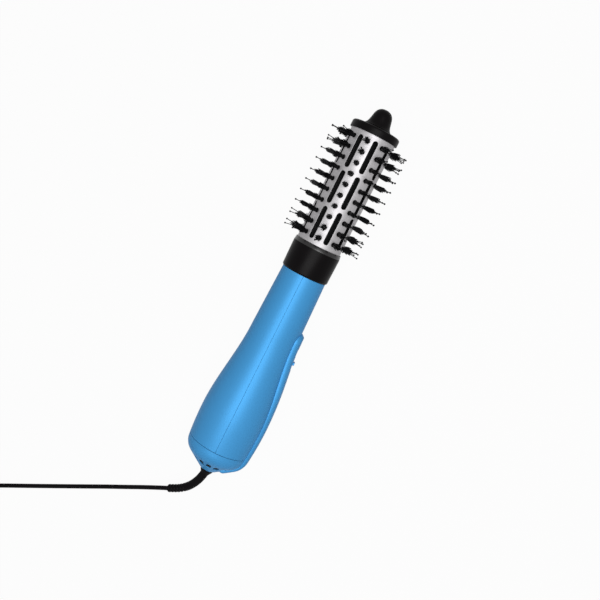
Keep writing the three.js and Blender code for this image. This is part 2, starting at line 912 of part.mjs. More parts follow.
// A lead runs straight for a little at both ends, square to what it meets.
function lead(points) {
  const straight = new THREE.Vector3(leadStraight, 0, 0);
  const first = points[0].clone().add(straight);
  const last = points.at(-1).clone().sub(straight);
  const curve = new THREE.CatmullRomCurve3([first, ...points.slice(1, -1), last], false, "chordal");
  const centres = [points[0], ...curve.getPoints(2 * curve.points.length - 2), points.at(-1)];
  return solid(tubeGeometry(centres, centres.map(() => leadRadius), 6));
}

// From a contact spring, along the outside of the fan duct and through its flange.
const contactRadius = springInside + springThickness / 2;
const inLane = (deg, side) => [
  around(springEnd + clearance, contactRadius, side),
  around((springEnd + ductStart) / 2, (contactRadius + leadLane) / 2, (deg + side) / 2),
  around(ductStart - 2 * leadNotch, leadLane, deg),
  around(flangeStart - leadStraight, leadLane, deg),
  around(flangeStart + flangeLength + leadStraight, leadLane, deg),
];

// The leads meet the switch near its inner face, clear of its ears and screws.
const terminal = switchDepth - switchHeight + 2 * leadRadius;

function leadLive() {
  const pastEar = new THREE.Vector3(
    switchStart - earLength,
    earThickness + 2 * leadRadius - switchDepth,
    switchWidth / 2 + leadRadius,
  );
  const end = new THREE.Vector3(switchStart - clearance, -terminal, switchWidth / 4);
  return lead([...inLane(leadNotchDeg[0], springDeg[0]), pastEar, end]);
}

function leadNeutral() {
  const [, laneDeg] = leadNotchDeg;
  const [, side] = springDeg;
  const past = around(switchStart, shellInside(switchEnd) - 2 * leadRadius, (laneDeg + side) / 2);
  const end = new THREE.Vector3(boardStart - clearance, boardHalf / 2, 0);
  return lead([...inLane(laneDeg, side), past, end]);
}

function leadHeater() {
  const start = new THREE.Vector3(switchEnd + clearance, -terminal, 0);
  const end = new THREE.Vector3(boardStart - clearance, -terminal, 0);
  return lead([start, end]);
}

function leadMotor() {
  const start = boardPlace + boardThickness + clearance;
  return lead([
    new THREE.Vector3(start, 3 * leadRadius - boardRadius, -switchWidth / 4),
    new THREE.Vector3(switchStart - clearance, -terminal, -switchWidth / 4),
  ]);
}

// ---------------------------------------------------------------- head

const collarStart = neckEnd + clearance;
const collarRadius = Math.max(neckRadius, barrelRadius) + collarProud;
const flangeTop = neckEnd + spigotLength + clearance + collarFlange;
const barrelStart = flangeTop + clearance;
const barrelBore = barrelRadius + clearance;
const collarTopRadius = barrelBore + collarTopWall;
const collarRimRadius = barrelBore + collarRimWall;
const capRingRadius = barrelBore + capRingWall;
const capRingStart = collarTop + barrelShown;
const barrelEnd = capRingStart + barrelInCap;
const discStart = barrelEnd + clearance;
const capEnd = capRingStart + capRingLength;
const headMiddle = collarTop + barrelShown / 2;
const carrierRadius = (barrelRadius - barrelWall) * Math.cos(Math.PI / (2 * rows)) - clearance;
const carrierInside = carrierRadius - carrierWall;
const spiderStart = flangeTop + clearance;
const carrierStart = spiderStart + spiderThickness + clearance;
const rowDeg = (row) => (360 * row) / rows;
const tuftPlace = (tuft) => headMiddle + (tuft - (tuftsInRow - 1) / 2) * tuftPitch;

function neckCollar() {
  return turned([
    [collarStart, spigotRadius + clearance],
    [collarStart, collarRadius - collarChamfer],
    [collarStart + collarChamfer, collarRadius],
    [collarTop - collarBevel, collarTopRadius],
    [collarTop, collarRimRadius],
    [collarTop, barrelBore],
    [flangeTop, barrelBore],
    [flangeTop, airPassage],
    [flangeTop - collarFlange, airPassage],
    [flangeTop - collarFlange, spigotRadius + clearance],
  ]);
}

// The barrel is a sheet with a flat under each row of tufts and each row of slots.
function barrel() {
  const openings = [tuftHoles(), slots()];
  const corners = [];
  for (let flat = 0; flat < 2 * rows; flat++) corners.push(...flatTriangles(flat, openings[flat % 2]));
  const geometry = new THREE.BufferGeometry();
  geometry.setAttribute("position", new THREE.Float32BufferAttribute(corners, 3));
  return solid(geometry);
}

// One flat as a plate with its openings. Its long edges stand on the tube's corners, which the next
// flat shares, so the walls there are left out.
function flatTriangles(flat, openings) {
  const flatDeg = 180 / rows;
  const half = barrelRadius * Math.sin(rad(flatDeg / 2));
  const outline = new THREE.Shape([
    new THREE.Vector2(barrelStart, -half),
    new THREE.Vector2(barrelEnd, -half),
    new THREE.Vector2(barrelEnd, half),
    new THREE.Vector2(barrelStart, half),
  ]);
  outline.holes.push(...openings);
  const plate = new THREE.ExtrudeGeometry(outline, { depth: barrelWall, bevelEnabled: false });
  const points = plate.attributes.position;
  const edge = (i) => (Math.abs(points.getY(i)) > half - edgeMargin ? Math.sign(points.getY(i)) : 0);
  const triangles = [];
  for (let i = 0; i < points.count; i += 3) {
    if (edge(i) !== 0 && edge(i) === edge(i + 1) && edge(i) === edge(i + 2)) continue;
    for (let k = i; k < i + 3; k++) {
      const radius = barrelRadius - barrelWall + points.getZ(k);
      const corner = around(points.getX(k), radius, ((flat - edge(k) / 2 + 2 * rows) % (2 * rows)) * flatDeg);
      const apothem = radius * Math.cos(rad(flatDeg / 2));
      const onFlat = around(points.getX(k), apothem, flat * flatDeg);
      onFlat.addScaledVector(around(0, points.getY(k), flat * flatDeg - 90), 1);
      triangles.push(...(edge(k) === 0 ? onFlat : corner).toArray());
    }
  }
  return triangles;
}

const edgeMargin = 0.01;

// Openings in line stand a hair off it, each by more than the last, because a triangulation drops
// a corner that lies on one line with its neighbours.
const offLine = (index) => 0.0005 * index * (index + 1);

const opening = (corners, x, index) =>
  new THREE.Path(corners.map(([along, across]) => new THREE.Vector2(x + along, across + offLine(index))));

function tuftHoles() {
  const half = tuftHole / 2;
  const square = [[-half, -half], [-half, half], [half, half], [half, -half]];
  return Array.from({ length: tuftsInRow }, (_, tuft) => opening(square, tuftPlace(tuft), tuft));
}

function slots() {
  const end = slotLength / 2;
  const half = slotWidth / 2;
  const straight = end - half;
  const right = [[straight, half], [end, 0], [straight, -half]];
  const left = [[-straight, -half], [-end, 0], [-straight, half]];
  return Array.from({ length: slotsInRow }, (_, slot) => {
    const x = headMiddle + (slot - (slotsInRow - 1) / 2) * (slotLength + slotGap);
    return opening([...right, ...left], x, slot);
  });
}

function bareGeometry(geometry) {
  const bare = geometry.toNonIndexed();
  bare.deleteAttribute("normal");
  bare.deleteAttribute("uv");
  return bare;
}

// A strand with three sides: a blunt pin, or a pointed bristle whose tip radius is 0.
function strandGeometry(from, to, rootRadius, tipRadius) {
  const along = new THREE.Vector3().subVectors(to, from);
  const turn = new THREE.Quaternion().setFromUnitVectors(
    new THREE.Vector3(0, 1, 0),
    along.clone().normalize(),
  );
  const strand = new THREE.CylinderGeometry(tipRadius, rootRadius, along.length(), 3);
  strand.applyQuaternion(turn).translate(...from.clone().lerp(to, 0.5).toArray());
  return bareGeometry(strand);
}

// One long pin, and short bristles that fan out round it without crossing.
function tuftStrands(x, deg, twist) {
  const root = carrierRadius - carrierWall / 2;
  const strands = [strandGeometry(around(x, root, deg), around(x, tuftTipRadius, deg), bristleRoot, pinTip)];
  const reach = fanTipRadius - root;
  for (let i = 0; i < fanBristles; i++) {
    const turn = (2 * Math.PI * i) / fanBristles + twist;
    const spread = fanOffset + reach * Math.tan(rad(fanDeg));
    const from = new THREE.Vector3(fanOffset * Math.cos(turn), fanOffset * Math.sin(turn), root);
    const to = new THREE.Vector3(spread * Math.cos(turn), spread * Math.sin(turn), fanTipRadius);
    [from, to].forEach((point) => {
      point.applyAxisAngle(new THREE.Vector3(1, 0, 0), rad(deg));
      point.x += x;
    });
    strands.push(strandGeometry(from, to, bristleRoot, 0));
  }
  return strands;
}

// A third of the slotted sleeve inside the barrel, with its own rows of tufts.
function bristleCarrier() {
  const facets = 2 * rows;
  const facetDeg = 360 / facets;
  const rowsHere = rows / carrierCount;
  const vertex = 1 / Math.cos(rad(facetDeg / 2));
  const line = ringLine(carrierStart, barrelEnd, carrierInside * vertex, carrierRadius * vertex);
  const sleeve = turnedGeometry(line, facets).rotateX(rad(facetDeg / 2));
  const reach = 2 * barrelRadius;
  const slotHalf = Math.tan(rad(facetDeg / 2)) * carrierRadius;
  const windowStart = carrierStart + carrierEndRing;
  const windowEnd = barrelEnd - carrierEndRing;
  const half = (rowsHere - 0.5) * facetDeg;
  const side = (deg) => block(0, 2 * barrelEnd, 0, reach, -reach, reach, deg);
  let body = solid(sleeve).intersect(side(half)).intersect(side(180 - half));
  for (let gap = 0; gap < rowsHere - 1; gap++) {
    const deg = rowDeg(gap - (rowsHere - 2) / 2);
    const near = carrierInside - carrierWall;
    body = body.subtract(block(windowStart, windowEnd, -slotHalf, slotHalf, near, reach, deg));
  }
  const strands = [];
  for (let row = -(rowsHere - 1) / 2; row <= (rowsHere - 1) / 2; row++) {
    for (let tuft = 0; tuft < tuftsInRow; tuft++) {
      strands.push(...tuftStrands(tuftPlace(tuft), rowDeg(row), tuft + row));
    }
  }
  return body.add(solid(mergeGeometries(strands)));
}

function rodSpider() {
  const end = spiderStart + spiderThickness;
  const hub = ring(spiderStart, end, rodRadius + clearance, spiderHub, roundSmall);
  const outer = (barrelRadius - barrelWall) * Math.cos(Math.PI / (2 * rows)) - clearance;
  const half = spiderArmWidth / 2;
  const arms = Array.from({ length: spiderArms }, (_, i) =>
    block(spiderStart, end, -half, half, spiderHub - 1, outer, (360 * i) / spiderArms),
  );
  return join(hub, ...arms);
}

// The tube round the tie rod that keeps the hot air out near the barrel's wall, held between the spider
// and the tip cap.
function airGuide() {
  return ring(carrierStart, barrelEnd, guideRadius - guideWall, guideRadius, roundInner);
}

function tieRod() {
  const head = spiderStart - clearance;
  const end = knobStart + rodNutHeight + rodPastNut + clearance;
  return join(
    pin(head - rodHeadHeight, head, 0, 0, rodHeadRadius, roundPin),
    pin(head - weld, end, 0, 0, rodRadius, roundPin),
  );
}

function tipCap() {
  const crown = capEnd + capCrown;
  const bevel = capShoulder * (1 - Math.SQRT1_2);
  return turned([
    [capRingStart, barrelBore],
    [capRingStart, capRingRadius],
    [capEnd - capShoulder, capRingRadius],
    [capEnd - bevel, capRingRadius - bevel],
    [capEnd, capRingRadius - capShoulder],
    [crown, knobBase + clearance],
    [crown, rodRadius + clearance],
    [crown - capDisc, rodRadius + clearance],
    [discStart, barrelBore],
  ]);
}

const knobStart = capEnd + capCrown + clearance;

function coolTip() {
  const end = knobStart + knobLength;
  const roundStart = end - knobRound;
  const steps = 5;
  const dome = Array.from({ length: steps }, (_, i) => {
    const angle = (Math.PI / 2) * (i / steps);
    return [roundStart + knobRound * Math.sin(angle), knobTop * Math.cos(angle)];
  });
  const flank = knobTop + (roundStart - knobStart - knobFillet) * knobDraft;
  const bevel = knobFillet * (1 - Math.SQRT1_2);
  return turned(
    [
      [knobStart, knobBore],
      [knobStart, knobBase],
      [knobStart + bevel, flank + bevel],
      [knobStart + knobFillet, flank],
      ...dome,
      [end, 0],
      [end - knobWall, 0],
      [end - knobWall - knobBoreChamfer, knobBore - knobBoreChamfer],
    ],
    roundInner,
  );
}

function rodNut() {
  const end = knobStart + rodNutHeight;
  const bore = pin(knobStart - 1, end + 1, 0, 0, rodRadius + clearance, roundSmall);
  return pin(knobStart, end, 0, 0, rodNutRadius, 6).subtract(bore);
}

// ---------------------------------------------------------------- the brush, tilted until it lies

// The tilt about Y at which the lowest tufts nearest the collar and the grip share one floor.
function lieAngle() {
  const lowest = tuftTipRadius * Math.cos(Math.PI / rows);
  const x = tuftPlace(0);
  const slopes = shellLine
    .filter(([at]) => at < x)
    .map(([at, r]) => (lowest - r) / (x - at));
  return Math.atan(Math.min(...slopes));
}

const brush = new THREE.Group();
const handle = new THREE.Group();
const head = new THREE.Group();
brush.add(handle, head);
handle.rotation.x = rad(handleTurnDeg);
brush.rotation.y = -lieAngle();

piece(handle, "handle_shell_left", leftShell(), blueLacquer);
piece(handle, "handle_shell_right", rightShell(), blueLacquer);
piece(handle, "end_cap", endCap(), blueLacquer);
screwDeg.forEach((deg, i) => piece(handle, `cap_screw_${i + 1}`, capScrew(deg), steel));
piece(handle, "intake_screen", intakeScreen(), blackPlastic);
piece(handle, "switch_panel", switchPanel(), blueLacquer);
piece(handle, "switch_slider", switchSlider(), blueLacquer);
piece(handle, "slide_switch", slideSwitch(), greyPlastic);
earPlaces().forEach((x, i) => piece(handle, `switch_screw_${i + 1}`, switchScrew(x), steel));
piece(handle, "swivel_housing", swivelHousing(), blackPlastic);
piece(handle, "contact_spring_live", contactSpring(springDeg[0]), brass);
piece(handle, "contact_spring_neutral", contactSpring(springDeg[1]), brass);
piece(handle, "fan_duct", fanDuct(), greyPlastic);
piece(handle, "fan", fan(), blackPlastic);
piece(handle, "motor_can", motorCan(), motorSteel);
piece(handle, "motor_shaft", motorShaft(), steel);
piece(handle, "rectifier_board", rectifierBoard(), board);
piece(handle, "mica_sleeve", micaSleeve(), mica);
piece(handle, "heater_board_flat", heaterBoardFlat(), mica);
piece(handle, "heater_board_upright", heaterBoardUpright(), mica).rotation.x = Math.PI / 2;
piece(handle, "heater_winding", heaterWinding(), nichrome);
piece(handle, "thermal_cutout", thermalCutout(), steel);
piece(handle, "thermal_fuse", thermalFuse(), steel);
piece(handle, "lead_live", leadLive(), cordVinyl);
piece(handle, "lead_neutral", leadNeutral(), cordVinyl);
piece(handle, "lead_heater", leadHeater(), cordVinyl);
piece(handle, "lead_motor", leadMotor(), cordVinyl);

piece(head, "neck_collar", neckCollar(), blackPlastic);
piece(head, "barrel", barrel(), brushedMetal);
const carrier = bristleCarrier();
for (let i = 0; i < carrierCount; i++) {
  const mesh = piece(head, `bristle_carrier_${i + 1}`, carrier, nylon);
  mesh.rotation.x = (2 * Math.PI * i) / carrierCount;
}
piece(head, "rod_spider", rodSpider(), blackPlastic);
piece(head, "air_guide", airGuide(), blackPlastic);
piece(head, "tie_rod", tieRod(), steel);
piece(head, "tip_cap", tipCap(), blackPlastic);
piece(head, "rod_nut", rodNut(), steel);
piece(head, "cool_tip", coolTip(), blackPlastic);

const extent = new THREE.Box3().setFromObject(brush, true);
const middle = extent.getCenter(new THREE.Vector3());
brush.position.set(-middle.x, -middle.y, -extent.min.z);
brush.updateMatrixWorld(true);

// ---------------------------------------------------------------- cord, in world space

const cordSet = new THREE.Group();
const swivel = new THREE.Group(); // what turns with the cord inside the end cap
handle.add(swivel);

const exit = handle.localToWorld(new THREE.Vector3(0, 0, 0));
const layerHeight = coilStep;
const coilBottom = tieFloor + tieThickness + tieGap + cordRadius;
const coilTop = coilBottom + (coilLayers - 1) * layerHeight;
const turnsInLayer = coilLoops / coilLayers;
const coilOuter = coilMiddle + (turnsInLayer * coilStep) / 2;

const leadPoints = leadRoute.map(
  ([back, side, fallen]) =>
    new THREE.Vector3(
      exit.x - back,
      exit.y + side,
      THREE.MathUtils.lerp(exit.z, cordHeight, fallen),
    ),
);
const entry = new THREE.Vector3(exit.x - coilEntry[0], exit.y + coilEntry[1], coilBottom);
const arrival = entry.clone().sub(leadPoints.at(-1)).setZ(0).normalize();
const inward = new THREE.Vector3(arrival.y, -arrival.x, 0);
const coilCentre = entry.clone().addScaledVector(inward, coilOuter).setZ(0);

function leadCurve() {
  const near = entry.clone().addScaledVector(arrival, -coilStraight - clearance);
  const before = entry.clone().addScaledVector(arrival, -3 * coilStraight);
  before.z = THREE.MathUtils.lerp(cordHeight, coilBottom, coilRise);
  return new THREE.CatmullRomCurve3([...leadPoints, before, near]);
}

// Distance from the coil's middle and height of the centreline after a number of turns. The turns
// spiral in and out at a steady rate and climb a layer in the half turn where they reverse.
function coilPoint(turns) {
  const phase = turns / turnsInLayer;
  const layer = Math.min(Math.floor(phase), coilLayers - 1);
  const share = phase - layer;
  const inwards = layer % 2 === 0 ? share : 1 - share;
  const radius = coilOuter - inwards * turnsInLayer * coilStep;
  let climbed = 0;
  for (let reverse = 1; reverse < coilLayers; reverse++) {
    const from = reverse * turnsInLayer - coilClimb / 2;
    climbed += THREE.MathUtils.clamp((turns - from) / coilClimb, 0, 1);
  }
  const angle = 2 * Math.PI * turns - Math.PI / 2;
  return coilCentre
    .clone()
    .addScaledVector(arrival, radius * Math.cos(angle))
    .addScaledVector(inward, radius * Math.sin(angle))
    .setZ(coilBottom + climbed * layerHeight);
}

function coilCentres() {
  const points = [entry.clone().addScaledVector(arrival, -coilStraight)];
  for (let i = 0; i <= coilLoops * coilSteps; i++) points.push(coilPoint(i / coilSteps));
  points.push(points.at(-1).clone().addScaledVector(arrival, coilStraight));
  return points;
}

// The least space between the surfaces of turns that pass each other.
function leastGap(points) {
  const near = Math.round(coilSteps / 4);
  let least = Infinity;
  for (let i = 0; i < points.length; i++) {
    for (let j = i + near; j < points.length; j++) {
      least = Math.min(least, points[i].distanceTo(points[j]));
    }
  }
  return least - 2 * cordRadius;
}

function cordTube(points, steps) {
  const section = new THREE.Shape();
  section.absarc(0, 0, cordRadius, 0, 2 * Math.PI);
  const extrudePath = new THREE.CatmullRomCurve3(points);
  const options = { steps, extrudePath, bevelEnabled: false, curveSegments: roundCord / 2 };
  return solid(new THREE.ExtrudeGeometry(section, options));
}

function between(curve, from, to, count) {
  const length = curve.getLength();
  return Array.from({ length: count + 1 }, (_, i) =>
    curve.getPointAt(THREE.MathUtils.clamp((from + ((to - from) * i) / count) / length, 0, 1)),
  );
}

// The relief flares at its root, tapers, and ends in ribs.
function reliefRadiusAt(distance) {
  const flare = Math.max(1 - distance / reliefFlare, 0) ** 2;
  const taper = THREE.MathUtils.lerp(reliefBody, reliefEndRadius, distance / reliefLength);
  return taper + (reliefRadius - reliefBody) * flare;
}

function strainRelief() {
  const inHandle = (x) => handle.localToWorld(new THREE.Vector3(x, 0, 0));
  const flangeStart = wall + clearance;
  const step = 0.02; // between the two sections of a square shoulder
  const points = [];
  const radii = [];
  const add = (point, radius) => {
    points.push(point);
    radii.push(radius);
  };
  add(inHandle(reliefCoreEnd), reliefCoreRadius);
  add(inHandle(flangeStart + flangeThickness + step), reliefCoreRadius);
  add(inHandle(flangeStart + flangeThickness), flangeRadius);
  add(inHandle(flangeStart), flangeRadius);
  add(inHandle(flangeStart - step), reliefRadius);
  const ribStart = reliefLength - reliefRibs * reliefRibPitch;
  const curve = leadCurve();
  const at = (distance) => curve.getPointAt(distance / curve.getLength());
  const smooth = 8;
  for (let i = 0; i < smooth; i++) {
    const distance = (ribStart * i) / smooth;
    add(at(distance), reliefRadiusAt(distance));
  }
  for (let rib = 0; rib < reliefRibs; rib++) {
    const start = ribStart + rib * reliefRibPitch;
    add(at(start), reliefRadiusAt(start) - reliefRibDepth);
    add(at(start + reliefRibPitch / 2), reliefRadiusAt(start));
  }
  add(at(reliefLength), reliefEndRadius - reliefRibDepth);
  return solid(tubeGeometry(points, radii, roundCord));
}

function cordLead() {
  const curve = leadCurve();
  return cordTube(between(curve, reliefLength + clearance, curve.getLength(), 24), 24);
}

function cordCoil() {
  const points = coilCentres();
  console.log(`coil: least gap to itself ${leastGap(points).toFixed(2)} mm`);
  return solid(tubeGeometry(points, points.map(() => cordRadius), coilSides));
}

const plugHeight = plugDepth / 2 + clearance;

// A point given along the arrival, across it, and up.
const fromCoil = (along, across, z) =>
  coilCentre
    .clone()
    .addScaledVector(arrival, along)
    .addScaledVector(inward, across)
    .setZ(z);

const plugRear = [tailRoute.at(-1)[0], tailRoute.at(-1)[1] + clearance];

function cordTail() {
  const start = fromCoil(coilStraight + clearance, -coilOuter, coilTop);
  const next = fromCoil(coilStraight + clearance + 2, -coilOuter, coilTop);
  const rest = tailRoute.map(([along, across, up]) =>
    fromCoil(along, across, THREE.MathUtils.lerp(plugHeight, coilTop, up)),
  );
  const [along, across] = tailRoute.at(-1);
  rest.splice(-1, 0, fromCoil(along, across - 2, plugHeight));
  return cordTube(new THREE.CatmullRomCurve3([start, next, ...rest]).getSpacedPoints(12), 12);
}

function coilTie() {
  const tiedMost = coilOuter - coilStep / 2 + cordRadius + tieGap;
  const tiedLeast = coilOuter - (turnsInLayer - 0.5) * coilStep - cordRadius - tieGap;
  const floor = tieFloor + tieThickness;
  const roof = coilTop + cordRadius + tieGap;
  const frame = (x0, x1, z0, z1) => block(x0, x1, -tieWidth / 2, tieWidth / 2, z0, z1);
  return frame(tiedLeast - tieThickness, tiedMost + tieThickness, floor - tieThickness, roof + tieThickness)
    .subtract(frame(tiedLeast, tiedMost, floor, roof).add(
      block(tiedLeast, tiedMost, -tieWidth, tieWidth, floor, roof),
    ));
}

function plugBody() {
  const wide = plugWidth / 2;
  const deep = plugDepth / 2;
  const stations = [
    [0, plugNeck, plugNeck],
    [0.22, 1.1 * plugNeck, 1.1 * plugNeck],
    [0.34, 0.84 * wide, 0.84 * deep],
    [0.8, wide, deep],
    [1, wide, deep],
  ];
  const sides = 16;
  const squarish = (value) => Math.sign(value) * Math.abs(value) ** plugSquareness;
  const points = [];
  const index = [];
  for (const [share, halfWidth, halfDepth] of stations) {
    for (let k = 0; k < sides; k++) {
      const turn = (2 * Math.PI * k) / sides;
      const across = halfWidth * squarish(Math.cos(turn));
      points.push(share * plugLength, across, halfDepth * squarish(Math.sin(turn)));
    }
  }
  const last = stations.length - 1;
  for (let i = 0; i < last; i++) {
    for (let k = 0; k < sides; k++) {
      const a = i * sides + k;
      const b = i * sides + ((k + 1) % sides);
      index.push(a, b, a + sides, b, b + sides, a + sides);
    }
  }
  for (let k = 1; k < sides - 1; k++) {
    index.push(0, k + 1, k);
    index.push(last * sides, last * sides + k, last * sides + k + 1);
  }
  const geometry = new THREE.BufferGeometry();
  geometry.setAttribute("position", new THREE.Float32BufferAttribute(points, 3));
  const pockets = [-1, 1].map((sign) => plugPin(sign, clearance));
  return pockets.reduce((body, pocket) => body.subtract(pocket), solid(geometry.setIndex(index)));
}

// A flat plug pin, or with a margin the pocket that it stands in.
function plugPin(sign, margin = 0) {
  const y = (sign * bladeSpacing) / 2;
  const halfWidth = bladeWidth / 2 + margin;
  const halfHeight = bladeHeight / 2 + margin;
  const start = plugLength - bladePocket - margin;
  return block(start, plugLength + bladeLength, y - halfHeight, y + halfHeight, -halfWidth, halfWidth);
}

piece(cordSet, "strain_relief", strainRelief(), cordVinyl);
piece(cordSet, "cord_lead", cordLead(), cordVinyl);
piece(cordSet, "cord_coil", cordCoil(), cordVinyl);
piece(cordSet, "cord_tail", cordTail(), cordVinyl);
piece(swivel, "slip_ring", slipRing(), brass);

const tie = piece(cordSet, "coil_tie", coilTie(), blackPlastic);
tie.position.copy(coilCentre);
tie.rotation.z = Math.atan2(inward.y, inward.x);

const plug = new THREE.Group();
piece(plug, "plug_body", plugBody(), cordVinyl);
[-1, 1].forEach((sign, i) => piece(plug, `plug_blade_${i + 1}`, plugPin(sign), brass));
plug.position.copy(fromCoil(...plugRear, plugHeight));
plug.rotation.z = Math.atan2(inward.y, inward.x);
cordSet.add(plug);

const hotAirBrush = new THREE.Group();
hotAirBrush.add(brush, cordSet);

export default hotAirBrush;
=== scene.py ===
# Hot air brush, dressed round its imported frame. The making works in millimetres along the brush's own
# axis, from the base face (x = 0) to the cool tip, and each finished mesh is then laid in the frame.

import bisect
import random
from math import atan, atan2, ceil, copysign, cos, dist, hypot, pi, radians, sin, sqrt, tan

import bmesh
import bpy
from bmesh.types import BMEdge, BMFace, BMVert
from mathutils import Matrix, Vector


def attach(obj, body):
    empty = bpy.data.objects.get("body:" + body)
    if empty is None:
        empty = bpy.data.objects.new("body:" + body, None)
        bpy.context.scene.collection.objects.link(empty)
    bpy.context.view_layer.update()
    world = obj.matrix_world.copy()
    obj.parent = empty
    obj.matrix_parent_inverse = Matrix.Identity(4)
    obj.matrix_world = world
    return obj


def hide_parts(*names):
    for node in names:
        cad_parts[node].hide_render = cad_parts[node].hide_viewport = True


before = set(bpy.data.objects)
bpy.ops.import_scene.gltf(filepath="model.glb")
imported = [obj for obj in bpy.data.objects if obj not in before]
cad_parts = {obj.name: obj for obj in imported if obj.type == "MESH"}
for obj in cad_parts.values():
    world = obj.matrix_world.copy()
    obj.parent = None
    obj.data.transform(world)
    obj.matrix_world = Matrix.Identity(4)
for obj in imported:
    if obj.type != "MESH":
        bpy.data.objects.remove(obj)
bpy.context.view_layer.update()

MM = 0.001
LIE = radians(1.37674)  # tilt of the brush where it rests on its tufts and its grip
EXIT = Vector((-0.16436556, 0.00001954, 0.02700085))  # the cord's exit, in metres
HANDLE_TURN = radians(7.7)  # the shells' seam against the front row of tufts
LAID = Matrix.Translation(EXIT) @ Matrix.Rotation(-LIE, 4, "Y")
HEAD = LAID @ Matrix.Scale(MM, 4)
HANDLE = LAID @ Matrix.Rotation(HANDLE_TURN, 4, "X") @ Matrix.Scale(MM, 4)

# Handle
CLEARANCE = 0.3
FINE_EDGE = 0.12  # bevel of the shells' and the barrel's edges
WALL = 2.2
SEAM_HALF = radians(0.16)
TONGUE_DROP, TONGUE_WALL = 0.8, 0.6  # the strip behind a seam: how far in it lies, and its wall
CAP_SEAM = 23.3
CAP_LIP = 0.6  # wall of the cap
CAP_ROUND = 13.0
CAP_ROUND_START = 20.3
UNDERSIDE = radians(52)  # slope of the vented underside against the axis
GRIP_RADIUS = 27.95
GRIP_WIDEST = 49.0
GRIP_BOW = 0.0016
TAPER_END = 129.0
NECK_RADIUS = 18.95
NECK_FLARE = 0.03
NECK_END = 183.0
CORD_BORE = 6.05
VENT_COUNT = 16
SCREW_PLACES = (6, 10)
# The radius of a hole's middle, its half length and half width, how round it is (1 is an ellipse), and how
# many columns of the mesh lie on either side of its middle
VENT = (17.4, 3.65, 2.2, 0.6, 2)
SCREW_HOLE = (17.0, 3.68, 2.9, 1.0, 3)

# Switch panel and slider
PANEL_HALF = 10.3
PANEL_BOTTOM = 3.0
PANEL_TOP = 138.3
PROUD_TOP, PROUD_END, PROUD_GRIP, PROUD_BASE = 3.5, 3.0, 2.2, 1.8  # height over the handle
PANEL_RISE_END = 96.0
PANEL_RIM = 2.3  # radius of its long edges
PANEL_RAMP = 2.8  # length of the slope at its top end
PANEL_CORNERS = (3.0, 8.0)  # their radius near the base, and towards the head
POCKET = (106.5, 125.1, 4.0)  # start, end and half width
STEM_SLOT = (111.2, 120.4, 1.6)  # the same, of the slot in its floor
POCKET_FLOOR = 0.65
SLIDER_PLACE = 112.8
SLIDER_SIZE = (12.0, 7.4, 0.8)  # length, width and thickness of its plate
SLIDER_PROUD = 1.1  # height of its bar over the panel

# Head
COLLAR_BORE = 17.9
COLLAR_EDGE, COLLAR_TOP = 206.1, 209.5  # where its bevel starts and ends
BARREL_RADIUS = 19.05
BARREL_WALL = 0.6
BARREL_START, BARREL_END = 199.6, 309.9
HEAD_MIDDLE = 257.75
ROWS = 9
TUFTS_IN_ROW = 10
TUFT_PITCH = 9.3
TUFT_HOLE = 2.05
SLOT_PITCH = 30.9
SLOT_HALF = (13.9, 2.2)
CARRIER_START = 202.4
CARRIER_RADIUS, CARRIER_WALL, CARRIER_RING = 17.85, 1.5, 5.0
PIN_TIP = 34.1
KNOB_BORE = 6.0

# Cord
CORD_RADIUS = 1.9
CORD_HEIGHT = 2.2
RELIEF_LENGTH = 46.0
RELIEF_ROOT, RELIEF_START, RELIEF_END = 5.75, 3.65, 3.45  # radii: the flared root, and the taper's ends
RIB_START, RIB_PITCH, RIB_DEPTH = 28.0, 3.0, 0.5
LEAD_ROUTE = (
    (0, 0, 0), (6, 0.6, 0.01), (14, 2.8, 0.05), (22.2, 7.2, 0.13), (28.8, 13.4, 0.22),
    (34.4, 21.4, 0.33), (39.7, 29.8, 0.46), (45.2, 38.3, 0.6), (50.7, 46.8, 0.73), (56.1, 55.3, 0.835),
    (61.6, 64.3, 0.915), (68.2, 75.7, 0.975), (75.6, 88.8, 1), (88.6, 112.4, 1), (102.2, 137.2, 1),
    (115.8, 162.1, 1),
)
COIL_ENTRY = (134.6, 196.9)
COIL_LOOPS, COIL_LAYERS, COIL_STEP, COIL_MIDDLE, COIL_STRAIGHT = 12, 4, 4.35, 22.8, 3.8
COIL_BOTTOM = 3.9
TIE_SLACK, TIE_HALF, TIE_ROUND = 1.8, 3.0, 2.6  # from the cord's skin, half width, corner radius
TAIL_ROUTE = (
    (12, -29.2, 0.97), (22, -27.4, 0.74), (31, -22.6, 0.4), (37.6, -15, 0.12), (41, -6.4, 0.01), (42, 1, 0),
)
PLUG_LENGTH, PLUG_WIDTH, PLUG_DEPTH = 36.0, 24.0, 13.6
PLUG_HEIGHT = 7.1
BLADE_SPACING, BLADE_WIDTH, BLADE_THICKNESS = 12.7, 6.35, 1.5
BLADE_START, BLADE_END = 32.0, 53.0


def placed(name, data):
    """A new object in the scene."""
    thing = bpy.data.objects.new(name, data)
    bpy.context.scene.collection.objects.link(thing)
    return thing


# ---------------- camera

